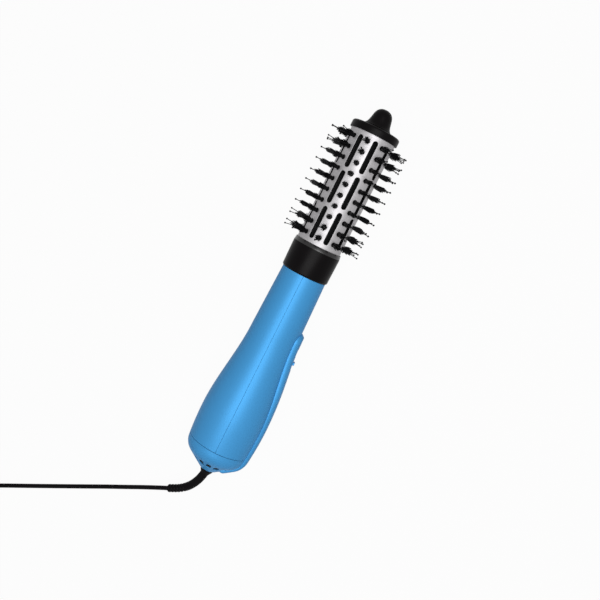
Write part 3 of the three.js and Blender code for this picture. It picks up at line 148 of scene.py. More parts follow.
def place_camera():
    """The photograph's view: almost straight down on the brush, from nearer its head."""
    focal, picture = 842.81, 600  # in pixels
    sensor = 36.0
    ahead, height = 0.2518, 0.6834  # metres from the cord's exit
    turn, tilt, lean, pan = (radians(angle) for angle in (7.3, 7.4344, 26.594, 0.5194))
    along = LAID.to_3x3() @ Vector((1, 0, 0))
    up = LAID.to_3x3() @ Vector((0, 0, 1))
    towards = cos(turn) * up - sin(turn) * Vector((0, 1, 0))
    place = EXIT + ahead * along + height * towards
    across = (-towards).cross(along)
    view = -cos(tilt) * towards - sin(tilt) * along
    above = cos(tilt) * along - sin(tilt) * towards
    view, across = (
        cos(pan) * view + sin(pan) * across,
        cos(pan) * across - sin(pan) * view,
    )
    upright = cos(lean) * above - sin(lean) * across
    right = sin(lean) * above + cos(lean) * across
    data = bpy.data.cameras.new("camera")
    data.sensor_width = sensor
    data.lens = sensor * focal / picture
    data.clip_start, data.clip_end = 0.01, 20.0
    camera = placed("camera", data)
    camera.matrix_world = Matrix.Translation(place) @ Matrix((right, upright, -view)).transposed().to_4x4()
    bpy.context.scene.camera = camera


# ---------------- finishes

def new_finish(name):
    """A material, its node tree, its shader and the object's own coordinates, in metres."""
    material = bpy.data.materials.new(name)
    material.use_nodes = True
    tree = material.node_tree
    shader = tree.nodes["Principled BSDF"]
    coordinates = tree.nodes.new("ShaderNodeTexCoord")
    return material, tree, shader, coordinates.outputs["Object"]


def tuned(node, **settings):
    """A shader node with its inputs set or linked by name, in which an underscore stands for a space."""
    for name, value in settings.items():
        entry = node.inputs[name.replace("_", " ")]
        if isinstance(value, bpy.types.NodeSocket):
            node.id_data.links.new(value, entry)
        else:
            entry.default_value = value
    return node


def stretched(tree, space, scale, turn=(0, 0, 0)):
    mapping = tree.nodes.new("ShaderNodeMapping")
    return tuned(mapping, Vector=space, Scale=scale, Rotation=turn).outputs["Vector"]


def noise(tree, space, scale, detail=2.0, rough=0.5):
    texture = tree.nodes.new("ShaderNodeTexNoise")
    return tuned(texture, Vector=space, Scale=scale, Detail=detail, Roughness=rough).outputs["Fac"]


def shades(tree, fac, low, high, start=0.3, end=0.7):
    """A colour between two shades."""
    ramp = tree.nodes.new("ShaderNodeValToRGB")
    ramp.color_ramp.elements[0].position = start
    ramp.color_ramp.elements[0].color = (*low, 1)
    ramp.color_ramp.elements[1].position = end
    ramp.color_ramp.elements[1].color = (*high, 1)
    return tuned(ramp, Fac=fac).outputs["Color"]


def levels(tree, fac, low, high):
    spread = tree.nodes.new("ShaderNodeMapRange")
    tuned(spread, Value=fac, From_Min=0.3, From_Max=0.7, To_Min=low, To_Max=high)
    return spread.outputs["Result"]


def relief_of(tree, shader, fac, distance, strength):
    bump = tuned(tree.nodes.new("ShaderNodeBump"), Height=fac, Distance=distance, Strength=strength)
    tuned(shader, Normal=bump.outputs["Normal"])


def tone(colour, factor):
    return tuple(min(1.0, c * factor) for c in colour)


def blue_lacquer():
    """Satin metallic lacquer: fine flakes, with a slightly uneven depth of colour."""
    material, tree, shader, space = new_finish("blue_lacquer")
    blue = (0.057, 0.288, 0.595)
    flakes = noise(tree, space, 3200.0, 1.0)
    cloud = noise(tree, space, 38.0, 3.0)
    colour = tree.nodes.new("ShaderNodeMix")
    colour.data_type = "RGBA"
    colour.blend_type = "MULTIPLY"
    base = shades(tree, flakes, tone(blue, 0.95), tone(blue, 1.05))
    tuned(colour, Factor=1.0, A=base, B=shades(tree, cloud, (0.98,) * 3, (1.0,) * 3))
    tuned(shader, Base_Color=colour.outputs["Result"], Roughness=levels(tree, flakes, 0.42, 0.48))
    tuned(shader, Metallic=0.22, Specular_IOR_Level=0.12, Specular_Tint=(0.5, 0.75, 1.0, 1))
    relief_of(tree, shader, flakes, 0.00001, 0.1)
    return material


def moulded(name, colour, roughness, grain=900.0, specular=0.4):
    """Moulded plastic with a fine spark-eroded grain."""
    material, tree, shader, space = new_finish(name)
    fine = noise(tree, space, grain, 2.0)
    broad = noise(tree, space, 60.0, 3.0)
    shade = shades(tree, broad, tone(colour, 0.85), tone(colour, 1.15))
    tuned(shader, Base_Color=shade, Roughness=levels(tree, broad, *roughness), Specular_IOR_Level=specular)
    relief_of(tree, shader, fine, 0.00003, 0.25)
    return material


def brushed_barrel():
    """Aluminium sheet brushed round the barrel, so that its light runs along it."""
    material, tree, shader, space = new_finish("brushed_barrel")
    lines = noise(tree, stretched(tree, space, (3200, 60, 60), (0, LIE, 0)), 1.0, 3.0, 0.6)
    broad = noise(tree, space, 45.0, 3.0)
    shade = shades(tree, lines, (0.34, 0.33, 0.34), (0.42, 0.41, 0.42))
    tuned(shader, Base_Color=shade, Roughness=levels(tree, broad, 0.48, 0.55), Metallic=0.7)
    relief_of(tree, shader, lines, 0.00002, 0.3)
    return material


def metal(name, colour, roughness=(0.25, 0.4)):
    """Bare or plated metal with drawn lines and handling haze."""
    material, tree, shader, space = new_finish(name)
    lines = noise(tree, stretched(tree, space, (120, 1800, 1800)), 1.0, 3.0, 0.6)
    haze = noise(tree, space, 150.0, 3.0)
    shade = shades(tree, haze, tone(colour, 0.85), tone(colour, 1.1))
    tuned(shader, Base_Color=shade, Roughness=levels(tree, haze, *roughness), Metallic=1.0)
    relief_of(tree, shader, lines, 0.00001, 0.2)
    return material


def layered_mica():
    """Pressed mica: pale flakes in a brown binder."""
    material, tree, shader, space = new_finish("layered_mica")
    cells = tuned(tree.nodes.new("ShaderNodeTexVoronoi"), Vector=space, Scale=450.0)
    flake = cells.outputs["Distance"]
    shade = shades(tree, flake, (0.42, 0.32, 0.17), (0.56, 0.46, 0.30), 0.1, 0.8)
    tuned(shader, Base_Color=shade, Roughness=levels(tree, flake, 0.45, 0.65))
    relief_of(tree, shader, flake, 0.0001, 0.3)
    return material


def wound_wire():
    """Resistance wire, wound turn against turn round the heater."""
    material, tree, shader, space = new_finish("wound_wire")
    wave = tuned(tree.nodes.new("ShaderNodeTexWave"), Scale=160.0, Distortion=0.4)
    turns = tuned(wave, Vector=stretched(tree, space, (1, 1, 1), (0, LIE, 0))).outputs["Fac"]
    shade = shades(tree, turns, (0.05, 0.045, 0.04), (0.30, 0.26, 0.23), 0.2, 0.8)
    tuned(shader, Base_Color=shade, Roughness=levels(tree, turns, 0.5, 0.35), Metallic=0.9)
    relief_of(tree, shader, turns, 0.0004, 0.6)
    return material


# ---------------- making pieces

def smoothstep(x, low, high):
    share = min(max((x - low) / (high - low), 0.0), 1.0)
    return share * share * (3 - 2 * share)


def mix(a, b, share):
    return a + (b - a) * share


def squared(value, power):
    """A sine or cosine drawn towards a square outline by a power under 1."""
    return copysign(abs(value) ** power, value)


def bearing_of(co):
    """The turn about the axis at which a point lies; 0 is up and a quarter turn is -Y."""
    return atan2(-co.y, co.z)


def distances(points):
    """How far along a line each of its points is."""
    run = [0.0]
    for near, far in zip(points, points[1:]):
        run.append(run[-1] + dist(near, far))
    return run


def only(kind, geom):
    return [part for part in geom if isinstance(part, kind)]


def handed_on(values, fresh):
    """What a ring's vertices stood for, given to the ring that was drawn out of it."""
    def parent(vert):
        return next(e.other_vert(vert) for e in vert.link_edges if e.other_vert(vert) in values)

    return {vert: values[parent(vert)] for vert in fresh}


def cut_out(bm, faces):
    """Takes faces away, and the vertices that only they had."""
    bmesh.ops.delete(bm, geom=list(faces), context="FACES")
    bmesh.ops.delete(bm, geom=[v for v in bm.verts if not v.link_faces], context="VERTS")


def rounded(bm, edges, radius, segments):
    bmesh.ops.bevel(
        bm, geom=edges, offset=radius, offset_type="OFFSET", segments=segments, profile=0.5, affect="EDGES",
        clamp_overlap=True, material=-1,
    )


def eased(line, radius, steps):
    """An [x, r] line whose inner corners are rounded."""
    out = [line[0]]
    for before, corner, after in zip(line, line[1:], line[2:]):
        p = Vector(corner)
        back, ahead = Vector(before) - p, Vector(after) - p
        cut = min(radius, 0.45 * back.length, 0.45 * ahead.length)
        start, end = p + back.normalized() * cut, p + ahead.normalized() * cut
        for i in range(steps + 1):
            t = i / steps
            out.append(tuple((1 - t) ** 2 * start + 2 * t * (1 - t) * p + t * t * end))
    return out + [line[-1]]


def spun(line, steps, start=0.0, sweep=2 * pi, closed=False):
    """A line of [x, r] points turned about the axis, from a start bearing."""
    bm = bmesh.new()
    verts = [bm.verts.new((x, 0, r)) for x, r in line]
    pairs = list(zip(verts, verts[1:])) + ([(verts[-1], verts[0])] if closed else [])
    edges = [bm.edges.new(pair) for pair in pairs]
    bmesh.ops.rotate(bm, verts=verts, cent=(0, 0, 0), matrix=Matrix.Rotation(start, 3, "X"))
    full = abs(sweep - 2 * pi) < 1e-6
    bmesh.ops.spin(
        bm, geom=verts + edges, cent=(0, 0, 0), axis=(1, 0, 0), angle=sweep, steps=steps, use_merge=full,
    )
    bmesh.ops.remove_doubles(bm, verts=bm.verts, dist=1e-3)
    bmesh.ops.recalc_face_normals(bm, faces=bm.faces)
    return bm


def facing(bm, way):
    """The mesh with its faces turned alike, the way that a function of a face says."""
    bmesh.ops.recalc_face_normals(bm, faces=bm.faces)
    if sum(way(f).dot(f.normal) for f in bm.faces) < 0:
        bmesh.ops.reverse_faces(bm, faces=bm.faces)
    return bm


def outward(bm):
    """A shell that is open at its ends, with its faces turned away from the axis."""
    return facing(bm, lambda f: Vector((0, *f.calc_center_median().yz)))


def mesh_of(bm, name):
    mesh = bpy.data.meshes.new(name)
    bm.to_mesh(mesh)
    bm.free()
    return mesh


def laid(bm, name, place, body, nodes, finish, crease=35):
    """The finished mesh as a piece that rides on a body and stands for CAD nodes."""
    bmesh.ops.transform(bm, matrix=place, verts=bm.verts)
    mesh = mesh_of(bm, name)
    for polygon in mesh.polygons:
        polygon.use_smooth = True
    mesh.set_sharp_from_angle(angle=radians(crease))
    mesh.materials.append(finish)
    piece = placed(name, mesh)
    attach(piece, body)
    if nodes:
        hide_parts(*nodes)
    return piece


def walled(piece, thickness, even=True):
    """A wall behind the piece's faces; an uneven one makes no spikes where its edges pinch."""
    wall = piece.modifiers.new("wall", "SOLIDIFY")
    wall.thickness = thickness * MM
    wall.offset = -1.0
    wall.use_even_offset = even
    return piece


def softened(piece, width, segments=2, angle=35, weighted=True):
    edge = piece.modifiers.new("edge", "BEVEL")
    edge.width = width * MM
    edge.segments = segments
    edge.limit_method = "ANGLE"
    edge.angle_limit = radians(angle)
    edge.harden_normals = False
    if weighted:
        shine = piece.modifiers.new("shine", "WEIGHTED_NORMAL")
        shine.keep_sharp = True
    return piece


# ---------------- handle

def grip_radius(x):
    neck = NECK_RADIUS + NECK_FLARE * (NECK_END - max(x, TAPER_END))
    belly = GRIP_RADIUS - GRIP_BOW * max(GRIP_WIDEST - x, 0) ** 2
    return mix(belly, neck, smoothstep(x, GRIP_WIDEST, TAPER_END))


def base_round():
    """The rounded edge between the sloping underside and the side of the end cap."""
    steps = 10
    slope = atan(2 * GRIP_BOW * (GRIP_WIDEST - CAP_ROUND_START))
    radius = grip_radius(CAP_ROUND_START)
    line = []
    for i in range(steps, -1, -1):
        angle = mix(slope, UNDERSIDE, i / steps)
        line.append((
            CAP_ROUND_START - CAP_ROUND * (sin(angle) - sin(slope)),
            radius - CAP_ROUND * (cos(slope) - cos(angle)),
        ))
    return line


ROUND_START = base_round()[0]
BASE_RADIUS = ROUND_START[1] - ROUND_START[0] * tan(UNDERSIDE)


def underside(distance):
    """The point at a distance up the slope from the flat base ring."""
    return distance * cos(UNDERSIDE), BASE_RADIUS + distance * sin(UNDERSIDE)


def body_line():
    """[x, r] of the whole handle, from the base ring to the neck."""
    step = 1.0
    points = [(0.0, BASE_RADIUS)] + base_round()
    x = CAP_ROUND_START
    while x < NECK_END:
        x = min(x + step, NECK_END)
        points.append((x, grip_radius(x)))
    return points


def radius_on(line, x):
    for (x0, r0), (x1, r1) in zip(line, line[1:]):
        if x <= x1:
            return mix(r0, r1, (x - x0) / (x1 - x0))
    return line[-1][1]


def offset_line(line, distance):
    out = []
    for i, (x, r) in enumerate(line):
        x0, r0 = line[max(i - 1, 0)]
        x1, r1 = line[min(i + 1, len(line) - 1)]
        length = hypot(x1 - x0, r1 - r0)
        proud = distance(x)
        out.append((x - proud * (r1 - r0) / length, r + proud * (x1 - x0) / length))
    return out


def handle_shells(finish):
    """Two halves with a fine seam between them, which runs from the end cap to the collar."""
    foot, step = CAP_SEAM + CLEARANCE, 2.0
    places = [foot + i * step for i in range(ceil((NECK_END - foot) / step))] + [NECK_END]
    line = [(x, grip_radius(x)) for x in places]
    for side, start in (("right", 0.0), ("left", pi)):
        bm = outward(spun(line, 72, start + SEAM_HALF, pi - 2 * SEAM_HALF))
        nodes = [f"handle_shell_{side}"]
        piece = laid(bm, f"{side}_shell", HANDLE, "body", nodes, finish)
        softened(walled(piece, WALL), FINE_EDGE)
        behind = [(x, r - TONGUE_DROP) for x, r in line[1:]]
        bm = outward(spun(behind, 2, start - 4 * SEAM_HALF, 8 * SEAM_HALF))
        walled(laid(bm, f"{side}_tongue", HANDLE, "body", [], finish), TONGUE_WALL)


def hole_in(bm, rings, column, turn, hole):
    """Bends the cone's mesh to the rim of a hole at this turn, and gives back the faces inside it."""
    radius, half_length, half_width, squareness, across = hole
    centre = (radius - BASE_RADIUS) / sin(UNDERSIDE)
    low, high = rings[0], rings[-1]
    block = {}
    for vert in bm.verts:
        s = vert.co.x / cos(UNDERSIDE)
        if not low - 0.01 < s < high + 0.01 or vert.co.x > ROUND_START[0]:
            continue
        away = (bearing_of(vert.co) - turn + pi) % (2 * pi) - pi
        k = round(away / column)
        if abs(k) <= across:
            block[vert] = ((2 * s - low - high) / (high - low), k / across)
    inside = [f for f in bm.faces if all(v in block for v in f.verts)]
    for vert, (a, b) in block.items():
        if max(abs(a), abs(b)) > 0.99:
            bearing = atan2(b, a)
            x, r = underside(centre + half_length * squared(cos(bearing), squareness))
            side = half_width * squared(sin(bearing), squareness) / r
            vert.co = (x, -r * sin(turn + side), r * cos(turn + side))
    return inside


def end_cap(finish):
    """The cap at the base: a cone underneath with long vents and two screw holes, and a round edge."""
    steps = 128
    vent_rings = [10.22 + 1.3 * i for i in range(5)]
    rings = [0.0, 1.4, 3.0, 5.2, 7.6] + vent_rings + [17.1]
    line = [(0.0, CORD_BORE)] + [underside(s) for s in rings] + base_round()
    bm = outward(spun(line + [(CAP_SEAM, grip_radius(CAP_SEAM))], steps))
    doomed = set()
    for place in range(VENT_COUNT):
        hole = SCREW_HOLE if place in SCREW_PLACES else VENT
        turn = 2 * pi * place / VENT_COUNT
        doomed.update(hole_in(bm, vent_rings, 2 * pi / steps, turn, hole))
    cut_out(bm, doomed)
    piece = laid(bm, "base_cap", HANDLE, "body", ["end_cap"], finish)
    softened(walled(piece, CAP_LIP), 0.15)


def vent_shade_sheet(finish):
    """A dark sheet close behind the vents, painted shade that darkens the holes; open where the two screws
    pass.
    """
    behind, under = CAP_LIP * sin(UNDERSIDE), CAP_LIP * cos(UNDERSIDE)
    bm = outward(spun([(x + behind, r - under) for x, r in map(underside, (3.0, 9.0, 17.6))], 96))
    screws = [2 * pi * place / VENT_COUNT for place in SCREW_PLACES]

    def by_a_screw(face):
        bearing = bearing_of(face.calc_center_median()) % (2 * pi)
        return any(abs(bearing - turn) < radians(15) for turn in screws)

    cut_out(bm, [f for f in bm.faces if by_a_screw(f)])
    walled(laid(bm, "vent_shade_sheet", HANDLE, "body", [], finish), 0.4)


# ---------------- switch panel

def panel_proud(x):
    rising = mix(PROUD_GRIP, PROUD_TOP, smoothstep(x, GRIP_WIDEST, PANEL_RISE_END))
    falling = mix(rising, PROUD_END, smoothstep(x, PANEL_RISE_END, PANEL_TOP))
    return mix(falling, PROUD_BASE, 1 - smoothstep(x, CAP_ROUND_START / 2, GRIP_WIDEST))


BODY = body_line()
PANEL_LINE = offset_line(BODY, panel_proud)
PANEL_UNDER = offset_line(BODY, lambda x: CLEARANCE)
POCKET_DEPTH = radius_on(PANEL_UNDER, POCKET[0]) + POCKET_FLOOR
RUN = distances(BODY)
OUT = [(x1 - x0, r1 - r0) for (x0, r0), (x1, r1) in zip(BODY, offset_line(BODY, lambda x: 1.0))]


def on_body(run, height=0.0):
    """[x, r] at a run along the handle's line and a height over it."""
    i = min(max(bisect.bisect(RUN, run) - 1, 0), len(RUN) - 2)
    share = (run - RUN[i]) / (RUN[i + 1] - RUN[i])
    near, far = ([BODY[j][k] + height * OUT[j][k] for k in (0, 1)] for j in (i, i + 1))
    return tuple(mix(a, b, share) for a, b in zip(near, far))


def run_at(x, height=0.0):
    """The run at which a point at a height over the handle's line has this x."""
    low, high = 0.0, RUN[-1]
    for _ in range(40):
        middle = (low + high) / 2
        low, high = (middle, high) if on_body(middle, height)[0] < x else (low, middle)
    return low


def panel_rows():
    """Where the panel's flat top is cut across: the run, its half width there and its edge's bearing."""
    start, end = run_at(PANEL_BOTTOM, PROUD_BASE), run_at(PANEL_TOP)
    near, far = PANEL_CORNERS

    def corner(middle, radius, degrees):
        bearing = radians(degrees)
        inset = radius - panel_rim(bearing)
        return middle + inset * cos(bearing), PANEL_HALF - radius + inset * sin(bearing), bearing

    fixed = [run_at(x, PROUD_TOP) for x in POCKET[:2] + STEM_SLOT[:2]]
    count, apart = 74, 0.7
    even = [mix(start + near, end - far, i / count) for i in range(count + 1)]
    runs = fixed + [run for run in even if all(abs(run - place) > apart for place in fixed)]
    rows = [(run, PANEL_HALF - PANEL_RIM, pi / 2) for run in runs]
    rows += [corner(start + near, near, degrees) for degrees in (180, 157.5, 135, 112.5)]
    rows += [corner(end - far, far, degrees) for degrees in (75, 60, 45, 30, 15, 0)]
    return sorted(rows)


def panel_rim(bearing):
    """The width of the panel's sloping rim where its edge faces a bearing; 0 is towards the head."""
    return mix(PANEL_RIM, PANEL_RAMP, max(cos(bearing), 0.0) ** 2)


def sunk(bm, faces):
    """Faces drawn out of the mesh, with walls left round them: their vertices, and the faces themselves."""
    drawn = bmesh.ops.extrude_face_region(bm, geom=faces)["geom"]
    cut_out(bm, faces)
    return only(BMVert, drawn), only(BMFace, drawn)


def switch_panel(finish):
    """The raised strip that the slider runs in: its flat top, then its rim drawn out and down."""
    rows = panel_rows()
    full = PANEL_HALF - PANEL_RIM
    columns = [-1, -0.85, -0.7, -POCKET[2] / full, -0.42, -STEM_SLOT[2] / full, 0]
    columns = columns + [-c for c in reversed(columns[:-1])]
    bm = bmesh.new()
    bmesh.ops.create_grid(bm, x_segments=len(rows) - 1, y_segments=len(columns) - 1, size=1.0)

    def place(vert, run, across, height):
        x, r = on_body(run, height)
        vert.co = (x, -sqrt(max(r * r - across * across, 0.0)), across)

    rim = {}
    for vert in bm.verts:
        run, half, bearing = rows[round((vert.co.x + 1) / 2 * (len(rows) - 1))]
        column = columns[round((vert.co.y + 1) / 2 * (len(columns) - 1))]
        side = copysign(1.0, column)
        if vert.is_boundary:
            rim[vert] = (run, half * column, bearing, side)
        place(vert, run, half * column, panel_proud(on_body(run)[0]))
    for degrees in (18, 36, 54, 72, 90, None):
        border = [e for e in bm.edges if e.is_boundary]
        rim = handed_on(rim, only(BMVert, bmesh.ops.extrude_edge_only(bm, edges=border)["geom"]))
        for vert, (run, across, bearing, side) in rim.items():
            angle = radians(90 if degrees is None else degrees)
            out = panel_rim(bearing) * sin(angle)
            proud = panel_proud(on_body(run)[0])
            towards = max(cos(bearing), 0.0) ** 2
            drop = mix(PANEL_RIM * (1 - cos(angle)), (proud - 0.2) * sin(angle) ** 1.2, towards)
            height = 0.05 if degrees is None else proud - drop
            place(vert, run + out * cos(bearing), across + side * out * sin(bearing), height)
    facing(bm, lambda f: Vector((0, -1, 0)))

    def inside(face, start, end, half):
        centre = face.calc_center_median()
        return start < centre.x < end and abs(centre.z) < half

    verts, pocket = sunk(bm, [f for f in bm.faces if inside(f, *POCKET)])
    for vert in verts:
        vert.co.y = -POCKET_DEPTH
    for vert in sunk(bm, [f for f in pocket if inside(f, *STEM_SLOT)])[0]:
        vert.co.y += POCKET_FLOOR
    bmesh.ops.remove_doubles(bm, verts=bm.verts, dist=1e-3)
    piece = laid(bm, "switch_ridge", HANDLE, "body", ["switch_panel"], finish, 40)
    softened(walled(piece, 0.5, even=False), 0.3, 3, 50, weighted=False)


def box(bm, x0, x1, y0, y1, z0, z1):
    """A block between three pairs of sides."""
    made = bmesh.ops.create_cube(bm, size=1.0)["verts"]
    bmesh.ops.scale(bm, vec=(x1 - x0, y1 - y0, z1 - z0), verts=made)
    bmesh.ops.translate(bm, vec=((x0 + x1) / 2, (y0 + y1) / 2, (z0 + z1) / 2), verts=made)


def switch_slider(finish):
    """The slide knob: a plate, a raised bar and two low ones across it, and a short stem underneath."""
    length, width, thickness = SLIDER_SIZE
    under = POCKET_DEPTH + CLEARANCE
    bar, low_bar = (1.2, 3.2), (0.45, 2.9)  # half length and half width
    inside = under + 0.4  # where a bar starts in the plate
    bm = bmesh.new()
    for shift, (half, across), low, high in (
        (0.0, (length / 2, width / 2), under, under + thickness),
        (0.0, bar, inside, radius_on(PANEL_LINE, SLIDER_PLACE) + SLIDER_PROUD),
        (-3.4, low_bar, inside, under + 1.05),
        (3.4, low_bar, inside, under + 1.05),
        (0.0, (1.3, 1.3), under - 0.55, under),
    ):
        x = SLIDER_PLACE + shift
        box(bm, x - half, x + half, -high, -low, -across, across)
    piece = laid(bm, "slide_knob", HANDLE, "slider", ["switch_slider"], finish)
    softened(piece, 0.25, 3)


# ---------------- head

def neck_collar(finish, bevel_highlight):
    """The ring between handle and barrel, and the bevel at its top as a ring of its own, in a paler and
    glossier black than the collar's body, whose paler colour is a painted highlight for the light that the
    bevel catches.
    """
    start, seat, ledge = NECK_END + CLEARANCE, BARREL_RADIUS + CLEARANCE, BARREL_START - CLEARANCE
    line = [
        (start, COLLAR_BORE), (start, 19.25), (184.1, 20.05), (205.9, 20.45), (COLLAR_EDGE, 20.2),
        (COLLAR_EDGE, seat), (ledge, seat), (ledge, COLLAR_BORE),
    ]
    bm = spun(eased(line, 0.3, 3), 128, closed=True)
    laid(bm, "collar", HEAD, "body", ["neck_collar"], finish, 50)
    edge, top = COLLAR_EDGE, COLLAR_TOP
    line = [(edge, seat), (edge, 20.42), (209.35, 19.86), (top, 19.7), (top, seat)]
    bm = spun(line, 128, closed=True)
    # The bevel's own finish is paler than the collar's black: painted highlight.
    laid(bm, "collar_bevel", HEAD, "body", [], bevel_highlight, 50)


def opening_in(bm, index, unit, column, opening):
    """Bends the flat mesh to the rim of an opening, and gives back the faces inside it."""
    centre_i, centre_k, half_i, half_k, x, (length, width) = opening
    block = {vert: (i - centre_i, k - centre_k) for vert, (i, k) in index.items()}
    block = {vert: (a, b) for vert, (a, b) in block.items() if abs(a) <= half_i and abs(b) <= half_k}
    y = centre_k * column
    straight = length - width
    for vert, (a, b) in block.items():
        if abs(a) < half_i and abs(b) < half_k:
            continue
        if straight and abs(a) * unit < straight:
            vert.co = (x + a * unit, y + copysign(width, b), 0)
            continue
        ends = half_i - half_k if straight else 0
        bearing = atan2(b, abs(a) - ends)
        along = straight + width * cos(bearing)
        vert.co = (x + copysign(along, a), y + width * sin(bearing), 0)
    return [f for f in bm.faces if all(v in block for v in f.verts)]


def barrel(finish):
    """The barrel's sheet: a flat pattern of tuft holes and slots, bent round and repeated."""
    per_tuft, cells = 10, 16  # rows of the mesh to a tuft, and its columns
    unit = TUFT_PITCH / per_tuft
    strip = 2 * pi * BARREL_RADIUS / ROWS
    column = strip / cells
    first = HEAD_MIDDLE - TUFTS_IN_ROW * TUFT_PITCH / 2
    below = round((first - BARREL_START) / unit)
    above = round((BARREL_END - first) / unit)
    bm = bmesh.new()
    bmesh.ops.create_grid(bm, x_segments=below + above, y_segments=cells, size=1.0)
    index = {}
    for vert in bm.verts:
        i = round((vert.co.x + 1) / 2 * (below + above)) - below
        k = round((vert.co.y + 1) / 2 * cells)
        index[vert] = (i, k)
        vert.co = (first + i * unit, k * column, 0)
    openings = []
    for place in range(TUFTS_IN_ROW):
        i = per_tuft * place + per_tuft // 2
        openings.append((i, 4, 2, 2, first + i * unit, (TUFT_HOLE, TUFT_HOLE)))
    for place in (-1, 0, 1):
        openings.append((50 + 33 * place, 12, 15, 2, HEAD_MIDDLE + place * SLOT_PITCH, SLOT_HALF))
    doomed = {face for opening in openings for face in opening_in(bm, index, unit, column, opening)}
    cut_out(bm, doomed)
    for vert in bm.verts:
        angle = (vert.co.y - strip / 4) / BARREL_RADIUS
        vert.co = (vert.co.x, -BARREL_RADIUS * sin(angle), BARREL_RADIUS * cos(angle))
    pattern = list(bm.verts) + list(bm.edges) + list(bm.faces)
    for row in range(1, ROWS):
        copy = only(BMVert, bmesh.ops.duplicate(bm, geom=pattern)["geom"])
        turn = Matrix.Rotation(2 * pi * row / ROWS, 3, "X")
        bmesh.ops.rotate(bm, verts=copy, cent=(0, 0, 0), matrix=turn)
    bmesh.ops.remove_doubles(bm, verts=bm.verts, dist=1e-3)
    piece = laid(outward(bm), "barrel_sheet", HEAD, "body", ["barrel"], finish)
    softened(walled(piece, BARREL_WALL), FINE_EDGE)


def strand(bm, foot, tip, radii, sides):
    """A straight tapered bristle from one point to another."""
    along = tip - foot
    turn = Vector((0, 0, 1)).rotation_difference(along).to_matrix().to_4x4()
    bmesh.ops.create_cone(
        bm, cap_ends=True, segments=sides, radius1=radii[0], radius2=radii[1], depth=along.length,
        matrix=Matrix.Translation((foot + tip) / 2) @ turn,
    )


def tuft(draw, fullness, pins):
    """One tuft standing up Z from the axis: a root, a bundle of stiff bristles and ball-tipped pins."""
    bm = bmesh.new()
    count, golden_turn = 34, 2.399963
    crown, pin_radii, ball = (29.9, (0.42, 0.32), 0.78) if pins == 1 else (28.7, (0.37, 0.28), 0.72)
    strand(bm, Vector((0, 0, 16.4)), Vector((0, 0, 18.9)), (1.95, 1.8), 12)
    for i in range(count):
        share = sqrt((i + 0.5) / count)
        turn = golden_turn * i + draw.uniform(-0.25, 0.25)
        ahead = Vector((cos(turn), sin(turn), 0))
        spread = fullness * share * draw.uniform(0.85, 1.12)
        reach = crown - 2.8 * share**1.6 + draw.uniform(-1.2, 1.0)
        foot = 0.95 * share * ahead + Vector((0, 0, 18.0))
        bend = 0.8 * spread * ahead + Vector((0, 0, 22.6 + draw.uniform(-0.7, 0.7)))
        strand(bm, foot, bend, (0.26, 0.29), 4)
        strand(bm, bend, spread * ahead + Vector((0, 0, reach)), (0.3, 0.22), 4)
    for pin in range(pins):
        lean = Vector((draw.uniform(-0.6, 0.6), draw.uniform(-0.6, 0.6), 0))
        if pins > 1:
            turn = 2 * pi * (pin + 0.3 * lean.x) / pins
            lean = (1.9 + lean.y) * Vector((cos(turn), sin(turn), 0))
        top = lean + Vector((0, 0, PIN_TIP - 0.7 - draw.uniform(0, 0.8) * (pins - 1)))
        strand(bm, Vector((0, 0, 18.2)), top, pin_radii, 6)
        bmesh.ops.create_icosphere(bm, subdivisions=2, radius=ball, matrix=Matrix.Translation(top))
    return mesh_of(bm, "tuft")


def bristle_carriers(finish):
    """Three slotted carriers inside the barrel, with three rows of tufts each."""
    draw = random.Random(7)
    slim = [tuft(draw, 2.15, 1) for _ in range(6)]
    full = [tuft(draw, fullness, pins) for fullness, pins in ((2.8, 2), (3.0, 3), (2.7, 3), (3.0, 2))]
    for carrier in range(3):
        bm = sleeve_sector()
        for row in (-1, 0, 1):
            for place in range(TUFTS_IN_ROW):
                old = set(bm.verts)
                at_end = min(place, TUFTS_IN_ROW - 1 - place) < 2
                bm.from_mesh(draw.choice(full if at_end else slim))
                fresh = [v for v in bm.verts if v not in old]
                x = HEAD_MIDDLE + (place - (TUFTS_IN_ROW - 1) / 2) * TUFT_PITCH
                spin = Matrix.Rotation(draw.uniform(0, 2 * pi), 4, "Z")
                lay = Matrix.Rotation(2 * pi * row / ROWS, 4, "X")
                bmesh.ops.transform(bm, matrix=lay @ Matrix.Translation((x, 0, 0)) @ spin, verts=fresh)
        bmesh.ops.transform(bm, matrix=Matrix.Rotation(2 * pi * carrier / 3, 4, "X"), verts=bm.verts)
        name = f"bristle_carrier_{carrier + 1}"
        laid(bm, f"bristles_{carrier + 1}", HEAD, "body", [name], finish, 50)
    for mesh in slim + full:
        bpy.data.meshes.remove(mesh)


def sleeve_sector():
    """The carrier's own wall: rings at its ends, and a bar under each row of tufts."""
    places = (CARRIER_START, CARRIER_START + CARRIER_RING, BARREL_END - CARRIER_RING, BARREL_END)
    half = radians(50)
    bm = outward(spun([(x, CARRIER_RADIUS) for x in places], 40, -half, 2 * half))

    def in_window(face):
        centre = face.calc_center_median()
        return places[1] < centre.x < places[2] and radians(11) < abs(bearing_of(centre)) < radians(29)

    cut_out(bm, [f for f in bm.faces if in_window(f)])
    inner = only(BMVert, bmesh.ops.extrude_face_region(bm, geom=bm.faces[:])["geom"])
    shrink = (CARRIER_RADIUS - CARRIER_WALL) / CARRIER_RADIUS
    bmesh.ops.scale(bm, vec=(1, shrink, shrink), verts=inner)
    bmesh.ops.recalc_face_normals(bm, faces=bm.faces)
    return bm


